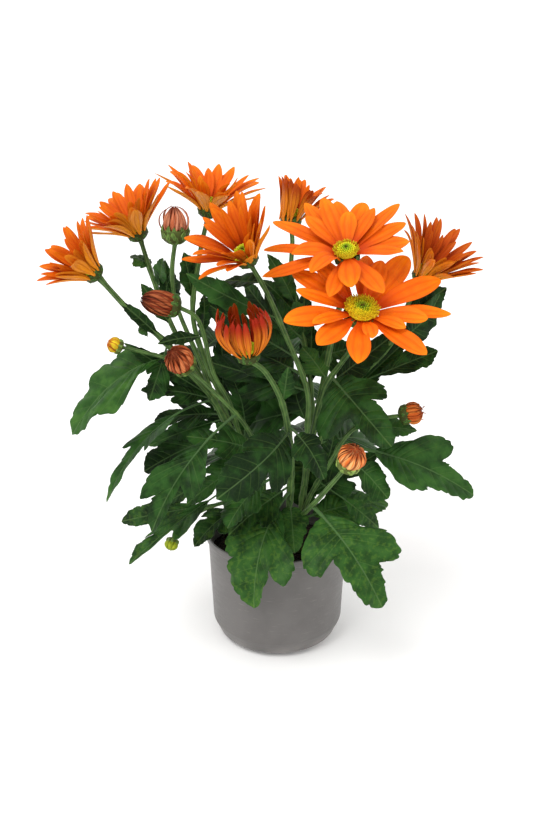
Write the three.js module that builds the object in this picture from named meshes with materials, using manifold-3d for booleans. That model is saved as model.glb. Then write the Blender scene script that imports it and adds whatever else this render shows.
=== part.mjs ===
// Pot chrysanthemum: three leafy stems that carry eight open blooms, one half-open bloom and
// seven buds, rooted in the soil of a round 9 cm plastic pot.
// Millimetres, +Z up. The origin is the centre of the pot's underside, and -Y is the front.

import * as THREE from "three";
import { mergeVertices } from "three/addons/utils/BufferGeometryUtils.js";
import Module from "manifold-3d";

const wasm = await Module();
wasm.setup();

// ---------------------------------------------------------------- driving dimensions

// Clearance between pieces that touch.
const gap = 0.3;

const pot = {
  height: 73.3,
  rimRadius: 45.5,
  lipHeight: 4.4,
  wallTopRadius: 44,
  wallFootRadius: 41.6,
  footHeight: 13,
  floorRadius: 31.5,
  footBulge: [0.6, 0.32],
  wall: 1.1,
  floor: 1.4,
  sides: 28,
  drainHoles: 4,
  drainRadius: 3.2,
  drainCircle: 24,
};

const soil = {
  level: 59,
  crumb: 1.3,
  rings: [0.7, 0.36],
};

const stem = {
  sides: 5,
  rootDepth: 11,
  stepsPerSpan: 2,
};

const leafShape = {
  thickness: 0.7,
  stalkRadius: 0.95,
  // Edge points, as [place of the side vein on the midrib, how far along the edge point lies,
  // how far out], in shares of the blade's length.
  lobed: [
    [0.0, 0.0, 0.03],
    [0.06, 0.085, 0.125],
    [0.135, 0.24, 0.245],
    [0.21, 0.41, 0.366],
    [0.3, 0.6, 0.3],
    [0.42, 0.53, 0.14],
    [0.56, 0.7, 0.19],
    [0.75, 0.89, 0.142],
    [1.0, 1.0, 0.0],
  ],
  fewLobed: [
    [0.0, 0.0, 0.03],
    [0.12, 0.2, 0.205],
    [0.26, 0.53, 0.36],
    [0.42, 0.53, 0.14],
    [0.64, 0.79, 0.182],
    [1.0, 1.0, 0.0],
  ],
  plain: [
    [0.0, 0.0, 0.05],
    [0.25, 0.34, 0.34],
    [0.6, 0.7, 0.27],
    [1.0, 1.0, 0.0],
  ],
  halfWidth: 0.36,
  plainBelow: 17,
  fewBelow: 35,
  fold: 0.16,
  sag: 0.5,
  unevenness: 0.1,
};

// How one side of a leaf may differ from the outline: [how far its lobe slides along the blade,
// then the widths of the lobe, of the waist past it and of the blade's end].
const leafSides = {
  even: [0, 1, 1, 1],
  ahead: [0.2, 1, 1, 1],
  back: [-0.16, 1, 1.3, 0.85],
  slim: [-0.05, 0.75, 1, 0.85],
  wide: [-0.05, 1.25, 0.8, 0.65],
  full: [-0.15, 0.8, 1.8, 1],
  long: [0.16, 0.75, 1.05, 1.4],
  short: [0.15, 1, 0.95, 0.6],
  broad: [0, 0.8, 1.5, 1.4],
};

// The places on the midrib between which a side's shape passes from one part to the next, and how
// much of the slide reaches each place.
const sidePlaces = [0, 0.13, 0.3, 0.43, 0.58, 0.76, 1];
const sideSlides = [0, 0.8, 1, 0.8, 0.2, 0, 0];

// A ray petal is split into sections at these shares of its length.
const petalShape = {
  thickness: 0.7,
  stations: [0, 0.42, 0.78, 1],
  rootWidth: 0.3,
  widest: 0.56,
};

const calyxShape = { height: 5.6, sides: 8, bracts: 4, relief: 0.05 };

// The two layers of petals grow from one low core: the foot and top of each layer's step of it,
// the height at which the petals leave the step, and how far the step lies inside the first.
const layerSteps = [
  { foot: 0, top: 1.2, root: 0, inset: 0 },
  { foot: 1, top: 2.3, root: 1.3, inset: 0.9 },
];
// The disc's outline, as [share of its height, share of its radius] rows: fine on the wide open
// blooms, plain inside the cups. Its florets are a relief of bumps.
const discShape = {
  height: 4.4,
  relief: 0.09,
  fine: { sides: 14, rows: [[0, 0.9], [0.3, 1], [0.56, 0.86], [0.78, 0.62], [0.92, 0.36], [1, 0.14]] },
  plain: { sides: 10, rows: [[0, 0.9], [0.42, 0.9], [0.8, 0.58], [0.92, 0.2]] },
};

// Stems: the centre line's points, and the radius at the foot and at the top. Each stem ends
// in the calyx of the flower of its name.
const stems = {
  F: {
    plant: "left",
    radius: [2.3, 1.4],
    points: [[-8, -4, 52], [-9, -5, 72], [-16, -10, 112], [-37, -17, 166], [-63, -19, 202], [-83, -21, 222]],
  },
  E: {
    plant: "left",
    radius: [1.7, 1.3],
    points: [[-24, -13, 136], [-33, -14, 159], [-59, 0, 200], [-73, 11, 231]],
  },
  J: {
    plant: "left",
    radius: [1.5, 1.2],
    points: [[-36, -16, 161], [-44, -13, 186], [-58, -14, 224], [-60, -16, 245]],
  },
  K: {
    plant: "left",
    radius: [1.5, 1.1],
    points: [[-17, -11, 116], [-27, -26, 166], [-37, -31, 190], [-44, -33, 221]],
  },
  L: {
    plant: "left",
    radius: [1.6, 1.1],
    points: [[-9, -6, 84], [-9, -24, 128], [-19, -35, 159], [-38, -44, 185]],
  },
  D: {
    plant: "left",
    radius: [1.9, 1.3],
    points: [[-9, -4, 70], [-17, 6, 122], [-34, 5, 160], [-50, 5, 208], [-46, 7, 247]],
  },
  O: {
    plant: "left",
    radius: [1.3, 1.0],
    points: [[-36, -16, 164], [-46, -23, 180], [-60, -29, 196], [-80, -33, 204]],
  },
  P: {
    plant: "left",
    radius: [1.3, 1.0],
    points: [[-12, -8, 88], [-24, -12, 98], [-42, -18, 97], [-58, -20, 87]],
  },
  I: {
    plant: "middle",
    radius: [2.2, 1.4],
    points: [[5, -12, 52], [6, -14, 78], [8, -22, 112], [8, -32, 142], [3, -46, 176], [-6, -55, 198]],
  },
  M: {
    plant: "middle",
    radius: [1.6, 1.2],
    points: [[6, -15, 82], [15, -30, 98], [22, -50, 116], [31, -66, 136]],
  },
  B: {
    plant: "right",
    radius: [2.4, 1.4],
    points: [[14, -3, 52], [14, -5, 74], [18, -9, 118], [25, -14, 164], [32, -11, 204], [37, -19, 232]],
  },
  A: {
    plant: "right",
    radius: [1.7, 1.4],
    points: [[24, -13, 156], [29, -19, 178], [37, -26, 194], [42, -38, 208]],
  },
  C: {
    plant: "right",
    radius: [1.7, 1.3],
    points: [[17, -9, 108], [18, -18, 150], [17, -24, 178], [3, -29, 216], [-6, -32, 238]],
  },
  G: {
    plant: "right",
    radius: [1.7, 1.3],
    points: [[18, -9, 120], [21, -4, 149], [19, 5, 180], [9, 17, 230], [9, 23, 254]],
  },
  H: {
    plant: "right",
    radius: [1.7, 1.3],
    points: [[18, -9, 116], [29, -9, 145], [46, -7, 174], [66, -4, 196], [76, -4, 221]],
  },
  N: {
    plant: "right",
    radius: [1.6, 1.1],
    points: [[14, -5, 80], [21, -13, 104], [32, -23, 130], [44, -31, 154], [62, -37, 164]],
  },
};

// Open blooms: the foot of the calyx, the way the bloom faces, and its layers of ray petals.
// Angles are in degrees. A layer's lift is the petals' slope above the bloom's plane at the
// root and at the tip.
const blooms = {
  A: {
    seat: [44.6, -51.5, 227], axis: [0.12, -0.42, 0.9], core: 10.2, disc: 8.3,
    petals: [
      // [azimuth, length, width, lift at the root, lift at the tip, layer]
      [7, 41, 12, 4, -6, 0], [30, 43, 14, 14, 4, 0], [56, 42, 14, 16, 6, 0], [84, 34, 12, 12, 2, 0],
      [121, 34, 11, 12, 0, 0], [147, 36, 13, 12, 0, 0], [196, 34, 14, 6, -4, 0], [230, 28, 14, 8, -6, 0],
      [264, 31, 13, 6, -6, 0], [317, 35, 14, 6, -6, 0],
      [351, 27, 13, 14, 4, 1], [70, 30, 11, 22, 6, 1], [134, 29, 10, 22, 4, 1], [170, 28, 10, 16, 2, 1],
      [211, 23, 10, 14, 0, 1], [284, 12, 9, 26, -36, 1], [328, 18, 10, 18, 0, 1],
    ],
  },
  B: {
    seat: [38.8, -34.5, 255.3], axis: [-0.12, -0.42, 0.9], core: 8, disc: 6,
    petals: [
      [5, 27, 12, 10, -2, 0], [27, 30, 11, 12, 0, 0], [46, 37, 12, 16, 4, 0], [71, 30, 12, 20, 8, 0],
      [95, 31, 13, 18, 8, 0], [120, 37, 12, 16, 6, 0], [143, 43, 11, 10, 0, 0], [166, 40, 9, 4, -8, 0],
      [191, 40, 10, 0, -14, 0], [254, 28, 11, 4, -10, 0], [296, 31, 12, 4, -10, 0],
      [58, 26, 10, 24, 8, 1], [83, 20, 10, 34, 16, 1], [108, 33, 12, 26, 12, 1], [132, 26, 11, 26, 8, 1],
      [178, 24, 10, 30, -16, 1], [224, 23, 12, 60, -46, 1], [273, 23, 13, 14, -10, 1],
      [345, 25, 11, 14, 0, 1],
    ],
  },
  C: {
    seat: [-15, -35, 255], axis: [-0.35, -0.45, 0.82], core: 7.2, disc: 6,
    layers: [
      { count: 10, first: 12, length: 31, width: 8.5, lift: [50, 34], lean: [195, -13] },
      { count: 6, first: 28, length: 27, width: 7.5, lift: [64, 50], lean: [195, -10] },
    ],
  },
  D: {
    seat: [-40.3, 10, 271], axis: [0.1, -0.08, 0.99], core: 7.2, disc: 5.4,
    layers: [
      { count: 10, first: 4, length: 29, width: 8.5, lift: [42, 18], lean: [10, -3] },
      { count: 6, first: 20, length: 24, width: 7.5, lift: [60, 40], lean: [10, -4] },
    ],
  },
  E: {
    seat: [-81, 19, 256], axis: [-0.4, -0.2, 0.9], core: 7.2, disc: 5.4,
    layers: [
      { count: 10, first: 8, length: 29, width: 8.5, lift: [44, 24], lean: [90, -6] },
      { count: 6, first: 24, length: 25, width: 7.5, lift: [60, 44], lean: [90, -4] },
    ],
  },
  F: {
    seat: [-101, -21, 244], axis: [-0.66, -0.34, 0.67], core: 7.2, disc: 5.4,
    layers: [
      { count: 11, first: 4, length: 25, width: 8, lift: [56, 46], lean: [270, 4] },
      { count: 6, first: 20, length: 21.5, width: 7, lift: [68, 60], lean: [270, 4] },
    ],
  },
  G: {
    seat: [7.5, 25, 262], axis: [0.16, 0.02, 0.99], core: 7.2, disc: 4.8,
    layers: [
      { count: 10, first: 10, length: 23, width: 6.5, lift: [66, 60], lean: [0, -20] },
      { count: 6, first: 24, length: 20, width: 6, lift: [76, 72], lean: [0, -18] },
    ],
  },
  H: {
    seat: [82, -5, 236.5], axis: [0.46, -0.3, 0.83], core: 7.2, disc: 5.2,
    layers: [
      { count: 12, first: 6, length: 30, width: 7, lift: [54, 42], lean: [90, 0] },
      { count: 7, first: 20, length: 25, width: 6.5, lift: [68, 58], lean: [90, 0] },
    ],
  },
  I: {
    seat: [-15, -60, 206], axis: [-0.16, -0.14, 0.97], core: 7.2, disc: 5.2,
    layers: [
      { count: 9, first: 34, length: 27, width: 8.5, lift: [36, 102], lean: [90, 0] },
      { count: 6, first: 2, length: 23, width: 7.5, lift: [50, 102], lean: [90, 0] },
    ],
  },
};

// Buds: the foot of the calyx, the way the bud points, its radius, its whole height and the
// calyx's share of that.
const buds = {
  J: { seat: [-57.5, -17, 262], axis: [0, 0.02, 1], radius: 8.2, height: 21, calyx: 0.4 },
  K: { seat: [-54, -35, 230.5], axis: [-0.97, -0.1, 0.22], radius: 7, height: 22.5, calyx: 0.22 },
  L: { seat: [-50.7, -45.5, 198], axis: [-0.45, -0.5, 0.74], radius: 7.6, height: 16.5, calyx: 0.24 },
  M: { seat: [38, -72, 148], axis: [0.3, -0.4, 0.86], radius: 7.4, height: 17, calyx: 0.36 },
  N: { seat: [70, -39, 166], axis: [0.96, -0.05, 0.26], radius: 6.2, height: 14, calyx: 0.36 },
  O: { seat: [-88, -35, 206], axis: [-0.85, -0.2, 0.48], radius: 4.6, height: 9, calyx: 0.34 },
  P: { seat: [-64, -24, 79], axis: [-0.3, -0.6, -0.75], radius: 4.2, height: 8, calyx: 0.34 },
};

// Leaves: [stem, height at which it leaves the stem, tip, width, options]. The upper side faces
// the direction "faces", the midrib is bowed upwards by "arch", the stalk is a share of the length,
// and "left" and "right" name the shapes of the sides.
const leaves = [
  // lower left
  ["F", 197, [-118, -45, 157], 50,
    { faces: [-0.1, -0.2, 1], arch: 0.3, stalk: 0.12, left: "ahead", right: "full" }],
  ["F", 203, [-74, -35, 174], 20, { faces: [0.2, -0.8, 0.5], arch: 0.04, left: "long", right: "slim" }],
  ["F", 168, [-79, -31, 179], 20, {}],
  ["F", 168, [-100, -49, 116], 24,
    { faces: [-0.4, -0.2, 0.9], arch: 0.3, stalk: 0.3, left: "back", right: "slim" }],
  ["F", 158, [-74, -14, 153], 22, {}],
  ["F", 146, [-80, -26, 125], 26,
    { faces: [-0.1, -0.7, 0.7], arch: 0.2, stalk: 0.34, left: "slim", right: "long" }],
  ["L", 167, [-73, -60, 102], 28,
    { faces: [-0.1, -0.6, 0.8], arch: 0.32, stalk: 0.28, left: "wide", right: "ahead" }],
  ["F", 98, [-99, -2, 79], 20, { faces: [0.2, -0.8, 0.5], arch: 0.36, stalk: 0.4, right: "long" }],
  ["F", 114, [-88, -55, 78], 20,
    { faces: [0.1, 0, 1], arch: 0.1, stalk: 0.36, left: "wide", right: "long" }],
  ["L", 140, [-53, -36, 152], 28, { arch: 0.1 }],
  ["L", 134, [-54, -38, 109], 24, { arch: 0.2 }],
  ["F", 94, [-51, -30, 76], 26, { faces: [-0.2, -0.3, 0.9], arch: 0.34, stalk: 0.3, right: "broad" }],
  // front
  ["I", 156, [-34, -78, 132], 36, { faces: [0.4, -0.8, 0.4], arch: 0.34, stalk: 0.06, right: "broad" }],
  ["I", 161, [27, -52, 132], 28,
    { faces: [0, -0.2, 1], arch: 0.22, stalk: 0.22, left: "full", right: "full" }],
  ["I", 122, [-29, -61, 105], 30,
    { faces: [0, 0.1, 1], arch: 0.34, stalk: 0.4, left: "ahead", right: "long" }],
  ["I", 114, [-29, -45, 92], 26, {}],
  ["I", 110, [-14, -62, 52], 54,
    { faces: [-0.3, -0.3, 0.9], arch: 0.34, stalk: 0.2, left: "short", right: "broad" }],
  ["I", 104, [10, -56, 86], 24,
    { faces: [0, 0.4, 0.9], arch: 0.06, stalk: 0.2, left: "full", right: "full" }],
  ["I", 176, [6, -50, 200], 10, { faces: [0, -1, 0.3] }],
  ["M", 112, [61, -76, 61], 52,
    { faces: [0.2, -0.8, 0.6], arch: 0.34, stalk: 0.14, left: "short", right: "back" }],
  ["G", 129, [14, 6, 86], 34,
    { faces: [-0.2, -0.9, 0.3], arch: 0.06, stalk: 0.06, left: "full", right: "full" }],
  // right
  ["N", 142, [117, -36, 114], 52,
    { faces: [-0.2, -0.4, 0.9], arch: 0.22, stalk: 0.26, left: "short", right: "slim" }],
  ["A", 184, [64, -62, 157], 46,
    { faces: [0, -0.9, 0.4], arch: 0.04, stalk: 0.06, left: "slim", right: "wide" }],
  ["H", 173, [94, -16, 198], 20,
    { faces: [-0.6, -0.7, 0.5], arch: 0.04, stalk: 0.34, left: "long", right: "long" }],
  ["H", 199, [96, 2, 227], 26,
    { faces: [0.7, -0.6, 0.3], arch: 0.34, stalk: 0.2, left: "slim", right: "full" }],
  ["N", 140, [65, -47, 117], 24,
    { faces: [0.1, -0.7, 0.7], arch: 0.2, stalk: 0.4, left: "full", right: "long" }],
  ["N", 114, [63, -19, 83], 14, { faces: [0.1, -0.9, 0.5], arch: 0.36, stalk: 0.4 }],
  ["N", 156, [82, -32, 154], 16, {}],
  // upper
  ["E", 227, [-66, -6, 251], 12,
    { faces: [-0.1, -0.8, 0.6], arch: 0.02, stalk: 0.2, left: "slim", right: "slim" }],
  ["E", 240, [-88, 19, 246], 15,
    { faces: [0.1, -0.1, 1], arch: 0.34, stalk: 0.06, left: "back", right: "back" }],
  ["F", 214, [-80, -22, 211], 10, {}],
  ["F", 206, [-90, -22, 230], 8, { faces: [0.3, -0.9, 0.3] }],
  ["K", 212, [-67, -42, 211], 10, {}],
  ["C", 222, [-50, -40, 251], 16, { faces: [-0.6, -0.8, 0.3], stalk: 0.2, right: "ahead" }],
  ["C", 244, [-30, -14, 240], 12, { faces: [0, -0.6, 0.8], arch: 0.04, stalk: 0.1, right: "back" }],
  ["D", 223, [-55, 8, 251], 16,
    { faces: [0.4, -0.6, 0.7], arch: 0.04, stalk: 0.06, left: "slim", right: "long" }],
  ["D", 197, [-44, 8, 225], 15,
    { faces: [0.7, -0.6, 0.4], arch: 0.2, stalk: 0.24, left: "slim", right: "broad" }],
  ["J", 227, [-61, -11, 245], 12, { faces: [0.8, -0.5, 0.3], arch: 0.04, left: "slim", right: "back" }],
  ["C", 186, [-25, 6, 192], 34, { arch: 0.16 }],
  ["G", 209, [-9, 20, 231], 16, { faces: [0, -0.8, 0.6], arch: 0.24, stalk: 0.06, right: "back" }],
  ["G", 168, [-20, 16, 176], 28, { faces: [-0.2, -0.8, 0.6] }],
  ["G", 184, [46, 14, 190], 26, { faces: [0.2, -0.8, 0.5] }],
  ["A", 176, [71, 0, 204], 22,
    { faces: [0, -0.8, 0.6], arch: 0.04, stalk: 0.18, left: "slim", right: "full" }],
  ["C", 153, [10, 0, 179], 16, { faces: [-0.5, -0.8, 0.3], arch: 0.3, stalk: 0.1 }],
  ["G", 196, [-8, 2, 224], 28, { faces: [-0.3, -0.8, 0.5] }],
  ["A", 180, [15, -4, 196], 22, {}],
  ["G", 214, [-6, 16, 248], 14, {}],
  // the far side
  ["D", 118, [-52, 62, 92], 34, { arch: 0.2 }],
  ["B", 98, [52, 50, 76], 34, { arch: 0.22 }],
  ["D", 176, [-78, 34, 176], 30, { arch: 0.16 }],
  ["D", 190, [-28, 46, 190], 28, { arch: 0.16 }],
  ["D", 96, [-20, 66, 74], 34, { arch: 0.22 }],
  ["G", 136, [8, 66, 112], 34, { arch: 0.2 }],
  ["G", 158, [42, 54, 144], 34, { arch: 0.18 }],
  ["G", 186, [-8, 56, 176], 30, { arch: 0.16 }],
  ["B", 82, [72, 18, 82], 32, { arch: 0.2 }],
  ["H", 136, [72, 42, 110], 34, { arch: 0.2 }],
  // between the stems
  ["D", 132, [-39, 14, 191], 34,
    { faces: [0.4, -0.6, 0.7], arch: 0.34, stalk: 0.12, left: "slim", right: "full" }],
  ["G", 156, [-33, 30, 126], 35,
    { faces: [-0.3, -0.8, 0.6], arch: 0.2, stalk: 0.08, left: "broad", right: "full" }],
  ["N", 111, [35, 0, 138], 22, { faces: [0.3, -0.9, 0.3], arch: 0.28, left: "broad", right: "broad" }],
  ["F", 155, [-79, -6, 133], 14, { faces: [-0.2, -0.8, 0.6], left: "back" }],
  ["F", 122, [-69, -10, 96], 18, { faces: [-0.2, -0.8, 0.5], arch: 0.34, stalk: 0.4, right: "long" }],
];

// ---------------------------------------------------------------- small helpers

const radians = (degrees) => THREE.MathUtils.degToRad(degrees);
const vector = (xyz) => new THREE.Vector3(...xyz);
const mix = THREE.MathUtils.lerp;

// A fixed number from 0 to 1 for each pair of whole numbers.
function chance(a, b) {
  const value = Math.sin(a * 12.9898 + b * 78.233) * 43758.5453;
  return value - Math.floor(value);
}

// The value at a place, read between the values at the given places.
function valueAt(place, places, values) {
  const next = Math.max(places.findIndex((given) => given >= place), 1);
  const share = (place - places[next - 1]) / (places[next] - places[next - 1]);
  return mix(values[next - 1], values[next], share);
}

// Moves point by the given amounts along up to three directions.
function offset(point, ...moves) {
  const moved = point.clone();
  for (const [direction, amount] of moves) {
    moved.addScaledVector(direction, amount);
  }
  return moved;
}

// The directions across an axis: "right" lies level where it can, and "rise" is square to both.
function crossAxes(axis) {
  const right = offset(new THREE.Vector3(1, 0, 0), [axis, -axis.x]).normalize();
  const rise = new THREE.Vector3().crossVectors(axis, right);
  return { right, rise };
}

// A closed solid from a row of rings with the same number of points, with flat ends. A ring
// whose points fall together makes a point or an edge.
function loft(rings) {
  const size = rings[0].length;
  const positions = rings.flat().flatMap((point) => [point.x, point.y, point.z]);
  const index = [];
  for (let ring = 0; ring + 1 < rings.length; ring += 1) {
    for (let side = 0; side < size; side += 1) {
      const a = ring * size + side;
      const b = ring * size + ((side + 1) % size);
      index.push(a, b, b + size, a, b + size, a + size);
    }
  }
  const last = (rings.length - 1) * size;
  for (let side = 1; side + 1 < size; side += 1) {
    index.push(0, side + 1, side);
    index.push(last, last + side, last + side + 1);
  }
  return solidFrom(positions, index);
}

function solidFrom(positions, index) {
  const geometry = new THREE.BufferGeometry();
  geometry.setAttribute("position", new THREE.Float32BufferAttribute(positions, 3));
  geometry.setIndex(index);
  return solidOf(geometry);
}

function solidOf(geometry) {
  geometry.deleteAttribute("normal");
  geometry.deleteAttribute("uv");
  const merged = mergeVertices(geometry, 1e-4);
  const corners = merged.index.array;
  const faces = [];
  for (let i = 0; i < corners.length; i += 3) {
    const [a, b, c] = [corners[i], corners[i + 1], corners[i + 2]];
    if (a !== b && b !== c && c !== a) {
      faces.push(a, b, c);
    }
  }
  return new wasm.Manifold(new wasm.Mesh({
    numProp: 3,
    vertProperties: new Float32Array(merged.attributes.position.array),
    triVerts: new Uint32Array(faces),
  }));
}

function join(solids) {
  let row = solids;
  while (row.length > 1) {
    const next = [];
    for (let i = 0; i < row.length; i += 2) {
      next.push(i + 1 < row.length ? row[i].add(row[i + 1]) : row[i]);
    }
    row = next;
  }
  return row[0];
}

function meshOf(name, solid, finish) {
  const { vertProperties, triVerts } = solid.getMesh();
  const geometry = new THREE.BufferGeometry();
  geometry.setAttribute("position", new THREE.Float32BufferAttribute(vertProperties, 3));
  geometry.setIndex([...triVerts]);
  geometry.computeVertexNormals();
  const mesh = new THREE.Mesh(geometry, new THREE.MeshStandardMaterial(finish));
  mesh.name = name;
  return mesh;
}

// ---------------------------------------------------------------- finishes

const finishes = {
  pot: { color: 0x6a6364, roughness: 0.45, metalness: 0 },
  soil: { color: 0x1d1916, roughness: 0.95, metalness: 0 },
  leafyStem: { color: 0x2f5a2a, roughness: 0.55, metalness: 0 },
  petals: { color: 0xf2760f, roughness: 0.6, metalness: 0 },
  disc: { color: 0xa8b028, roughness: 0.8, metalness: 0 },
  bud: { color: 0xb5471c, roughness: 0.65, metalness: 0 },
  youngBud: { color: 0xb3a52f, roughness: 0.7, metalness: 0 },
};

// ---------------------------------------------------------------- pot and soil

const innerTaper = (pot.wallTopRadius - pot.wallFootRadius) / (pot.height - pot.lipHeight - pot.footHeight);

// The radius of the pot's outer wall above the foot.
function wallRadius(height) {
  return pot.wallFootRadius + innerTaper * (height - pot.footHeight);
}

function makePot() {
  const wallTop = pot.height - pot.lipHeight;
  const [bulgeOut, bulgeUp] = pot.footBulge;
  const outerFoot = pot.wallFootRadius - pot.floorRadius;
  const profile = [
    [0, 0],
    [pot.floorRadius, 0],
    [pot.floorRadius + outerFoot * bulgeOut, pot.footHeight * bulgeUp],
    [pot.wallFootRadius, pot.footHeight],
    [pot.wallTopRadius, wallTop - 0.6],
    [pot.rimRadius, wallTop],
    [pot.rimRadius, pot.height],
    [pot.rimRadius - 1.3, pot.height],
    [pot.wallTopRadius - pot.wall, wallTop - 1],
    [pot.wallFootRadius - pot.wall, pot.footHeight],
    [pot.floorRadius - 0.6, pot.floor],
    [0, pot.floor],
  ].map(([radius, height]) => new THREE.Vector2(radius, height));
  const body = new THREE.LatheGeometry(profile, pot.sides);
  body.rotateX(Math.PI / 2);
  let solid = solidOf(body);
  for (let i = 0; i < pot.drainHoles; i += 1) {
    const turn = ((i + 0.5) / pot.drainHoles) * Math.PI * 2;
    const hole = new THREE.CylinderGeometry(pot.drainRadius, pot.drainRadius, pot.floor * 4, 8);
    hole.rotateX(Math.PI / 2);
    hole.translate(Math.cos(turn) * pot.drainCircle, Math.sin(turn) * pot.drainCircle, 0);
    solid = solid.subtract(solidOf(hole));
  }
  return solid;
}

// The soil fills the pot to a gap all round. Crumbs raise and sink its surface, and each plant
// stands in a plain hole.
function makeSoil() {
  const ring = (radius, height) => Array.from({ length: pot.sides }, (_, side) => {
    const turn = (side / pot.sides) * Math.PI * 2;
    return new THREE.Vector3(Math.sin(turn) * radius, Math.cos(turn) * radius, height(side));
  }).reverse();
  const clearance = gap + pot.wall + 0.2;
  const topRadius = wallRadius(soil.level) - clearance;
  const rings = [
    ring(pot.floorRadius - 2, () => pot.floor + gap),
    ring(pot.wallFootRadius - clearance, () => pot.footHeight),
    ring(topRadius, () => soil.level - 1),
  ];
  soil.rings.forEach((share, row) => {
    rings.push(ring(topRadius * share, (side) => soil.level + soil.crumb * (chance(side, row + 1) * 2 - 1)));
  });
  let solid = loft(rings);
  for (const root of ["F", "I", "B"]) {
    const [x, y] = stems[root].points[0];
    const radius = stems[root].radius[0] + 1;
    const hole = new THREE.CylinderGeometry(radius, radius, stem.rootDepth * 2, 8);
    hole.rotateX(Math.PI / 2);
    hole.translate(x, y, stems[root].points[0][2] - gap + stem.rootDepth);
    solid = solid.subtract(solidOf(hole));
  }
  return solid;
}

// ---------------------------------------------------------------- stems

function frameOf(flower) {
  const axis = vector(flower.axis).normalize();
  return { seat: vector(flower.seat), axis, ...crossAxes(axis) };
}

// The centre line of a stem, which meets the calyx of its flower square on.
function lineOf(name) {
  const { seat, axis } = frameOf(blooms[name] ?? buds[name]);
  const points = stems[name].points.map(vector);
  points.push(offset(seat, [axis, 2]));
  return new THREE.CatmullRomCurve3(points, false, "catmullrom", 0.5);
}

function makeStem(name) {
  const line = lineOf(name);
  const steps = (line.points.length - 1) * stem.stepsPerSpan;
  const [foot, top] = stems[name].radius;
  const rings = [];
  for (let i = 0; i <= steps; i += 1) {
    const t = i / steps;
    const centre = line.getPoint(t);
    const along = line.getTangent(t);
    const side = new THREE.Vector3(0, 1, 0).cross(along).normalize();
    const rise = new THREE.Vector3().crossVectors(along, side);
    const radius = mix(foot, top, t);
    rings.push(Array.from({ length: stem.sides }, (_, corner) => {
      const turn = (corner / stem.sides) * Math.PI * 2;
      return offset(centre, [side, radius * Math.cos(turn)], [rise, radius * Math.sin(turn)]);
    }));
  }
  return loft(rings);
}

// The point at which a stem's centre line reaches a height.
function pointAtHeight(name, height) {
  const line = lineOf(name);
  let low = 0;
  let high = 1;
  for (let i = 0; i < 30; i += 1) {
    const middle = (low + high) / 2;
    if (line.getPoint(middle).z < height) {
      low = middle;
    } else {
      high = middle;
    }
  }
  return line.getPoint(low);
}

// ---------------------------------------------------------------- leaves

// Small leaves are plain, and the middling ones have fewer points than the large ones.
function edgeRows(width) {
  if (width < leafShape.plainBelow) {
    return leafShape.plain;
  }
  return width < leafShape.fewBelow ? leafShape.fewLobed : leafShape.lobed;
}

// A lobed blade with a stalk: each station joins the midrib to a point of the left and of the
// right edge, and the underside repeats the upper side one thickness below.
function makeLeaf([stemName, height, tipPoint, width, options], number) {
  const { faces = [0, -0.5, 0.87], arch = 0.14, stalk = 0.15, left = "even", right = "even" } = options;
  const start = pointAtHeight(stemName, height);
  const tip = vector(tipPoint);
  const chord = tip.clone().sub(start);
  const reach = chord.length();
  const above = vector(faces).projectOnPlane(chord).normalize();
  const crest = offset(start, [chord, 0.45], [above, arch * reach]);
  const midrib = new THREE.QuadraticBezierCurve3(start, crest, tip);
  const blade = reach * (1 - stalk);
  const spread = width / (2 * leafShape.halfWidth * blade);
  const rows = [[0, 0, 0], ...edgeRows(width)];
  const rings = rows.map(([place, ahead, out], row) => {
    const u = row === 0 ? 0 : stalk + (1 - stalk) * place;
    const along = midrib.getTangent(u);
    const normal = above.clone().projectOnPlane(along).normalize();
    const side = new THREE.Vector3().crossVectors(normal, along);
    const centre = midrib.getPoint(u);
    const least = row < 2 ? leafShape.stalkRadius : 0;
    const edgePoint = (hand) => {
      const draw = chance(number * 2 + (hand > 0 ? 1 : 0), row) * 2 - 1;
      const uneven = 1 + leafShape.unevenness * draw;
      const [slide, lobe, waist, end] = leafSides[hand > 0 ? left : right];
      const moved = ahead + slide * valueAt(place, sidePlaces, sideSlides);
      const widen = valueAt(place, sidePlaces, [1, lobe, lobe, waist, end, end, 1]);
      const forward = blade * (moved - place) * uneven;
      const lateral = Math.max(blade * out * widen * spread * uneven, least);
      const lift = lateral * leafShape.fold - (lateral * lateral * leafShape.sag) / blade;
      return offset(centre, [along, forward], [side, hand * lateral], [normal, lift]);
    };
    const thickness = row === 0 ? leafShape.stalkRadius * 1.8 : leafShape.thickness;
    const upper = [edgePoint(-1), centre, edgePoint(1)];
    const lower = [2, 1, 0].map((i) => offset(upper[i], [normal, -thickness]));
    return [...upper, ...lower].reverse();
  });
  return leafSkin(rings);
}

// Joins stations of three upper and three lower points, split alike on both faces.
function leafSkin(rings) {
  const positions = rings.flat().flatMap((point) => [point.x, point.y, point.z]);
  const index = [];
  const quad = (a, b, c, d, flip) => {
    if (flip) {
      index.push(a, b, d, b, c, d);
    } else {
      index.push(a, b, c, a, c, d);
    }
  };
  for (let ring = 0; ring + 1 < rings.length; ring += 1) {
    const near = ring * 6;
    const far = near + 6;
    for (let side = 0; side < 6; side += 1) {
      const next = (side + 1) % 6;
      quad(near + side, near + next, far + next, far + side, side === 0 || side === 4);
    }
  }
  const last = (rings.length - 1) * 6;
  for (const [a, b, c] of [[0, 5, 1], [1, 5, 4], [1, 4, 2], [2, 4, 3]]) {
    index.push(a, b, c);
    index.push(last + a, last + c, last + b);
  }
  return solidFrom(positions, index);
}

// ---------------------------------------------------------------- flowers

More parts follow.
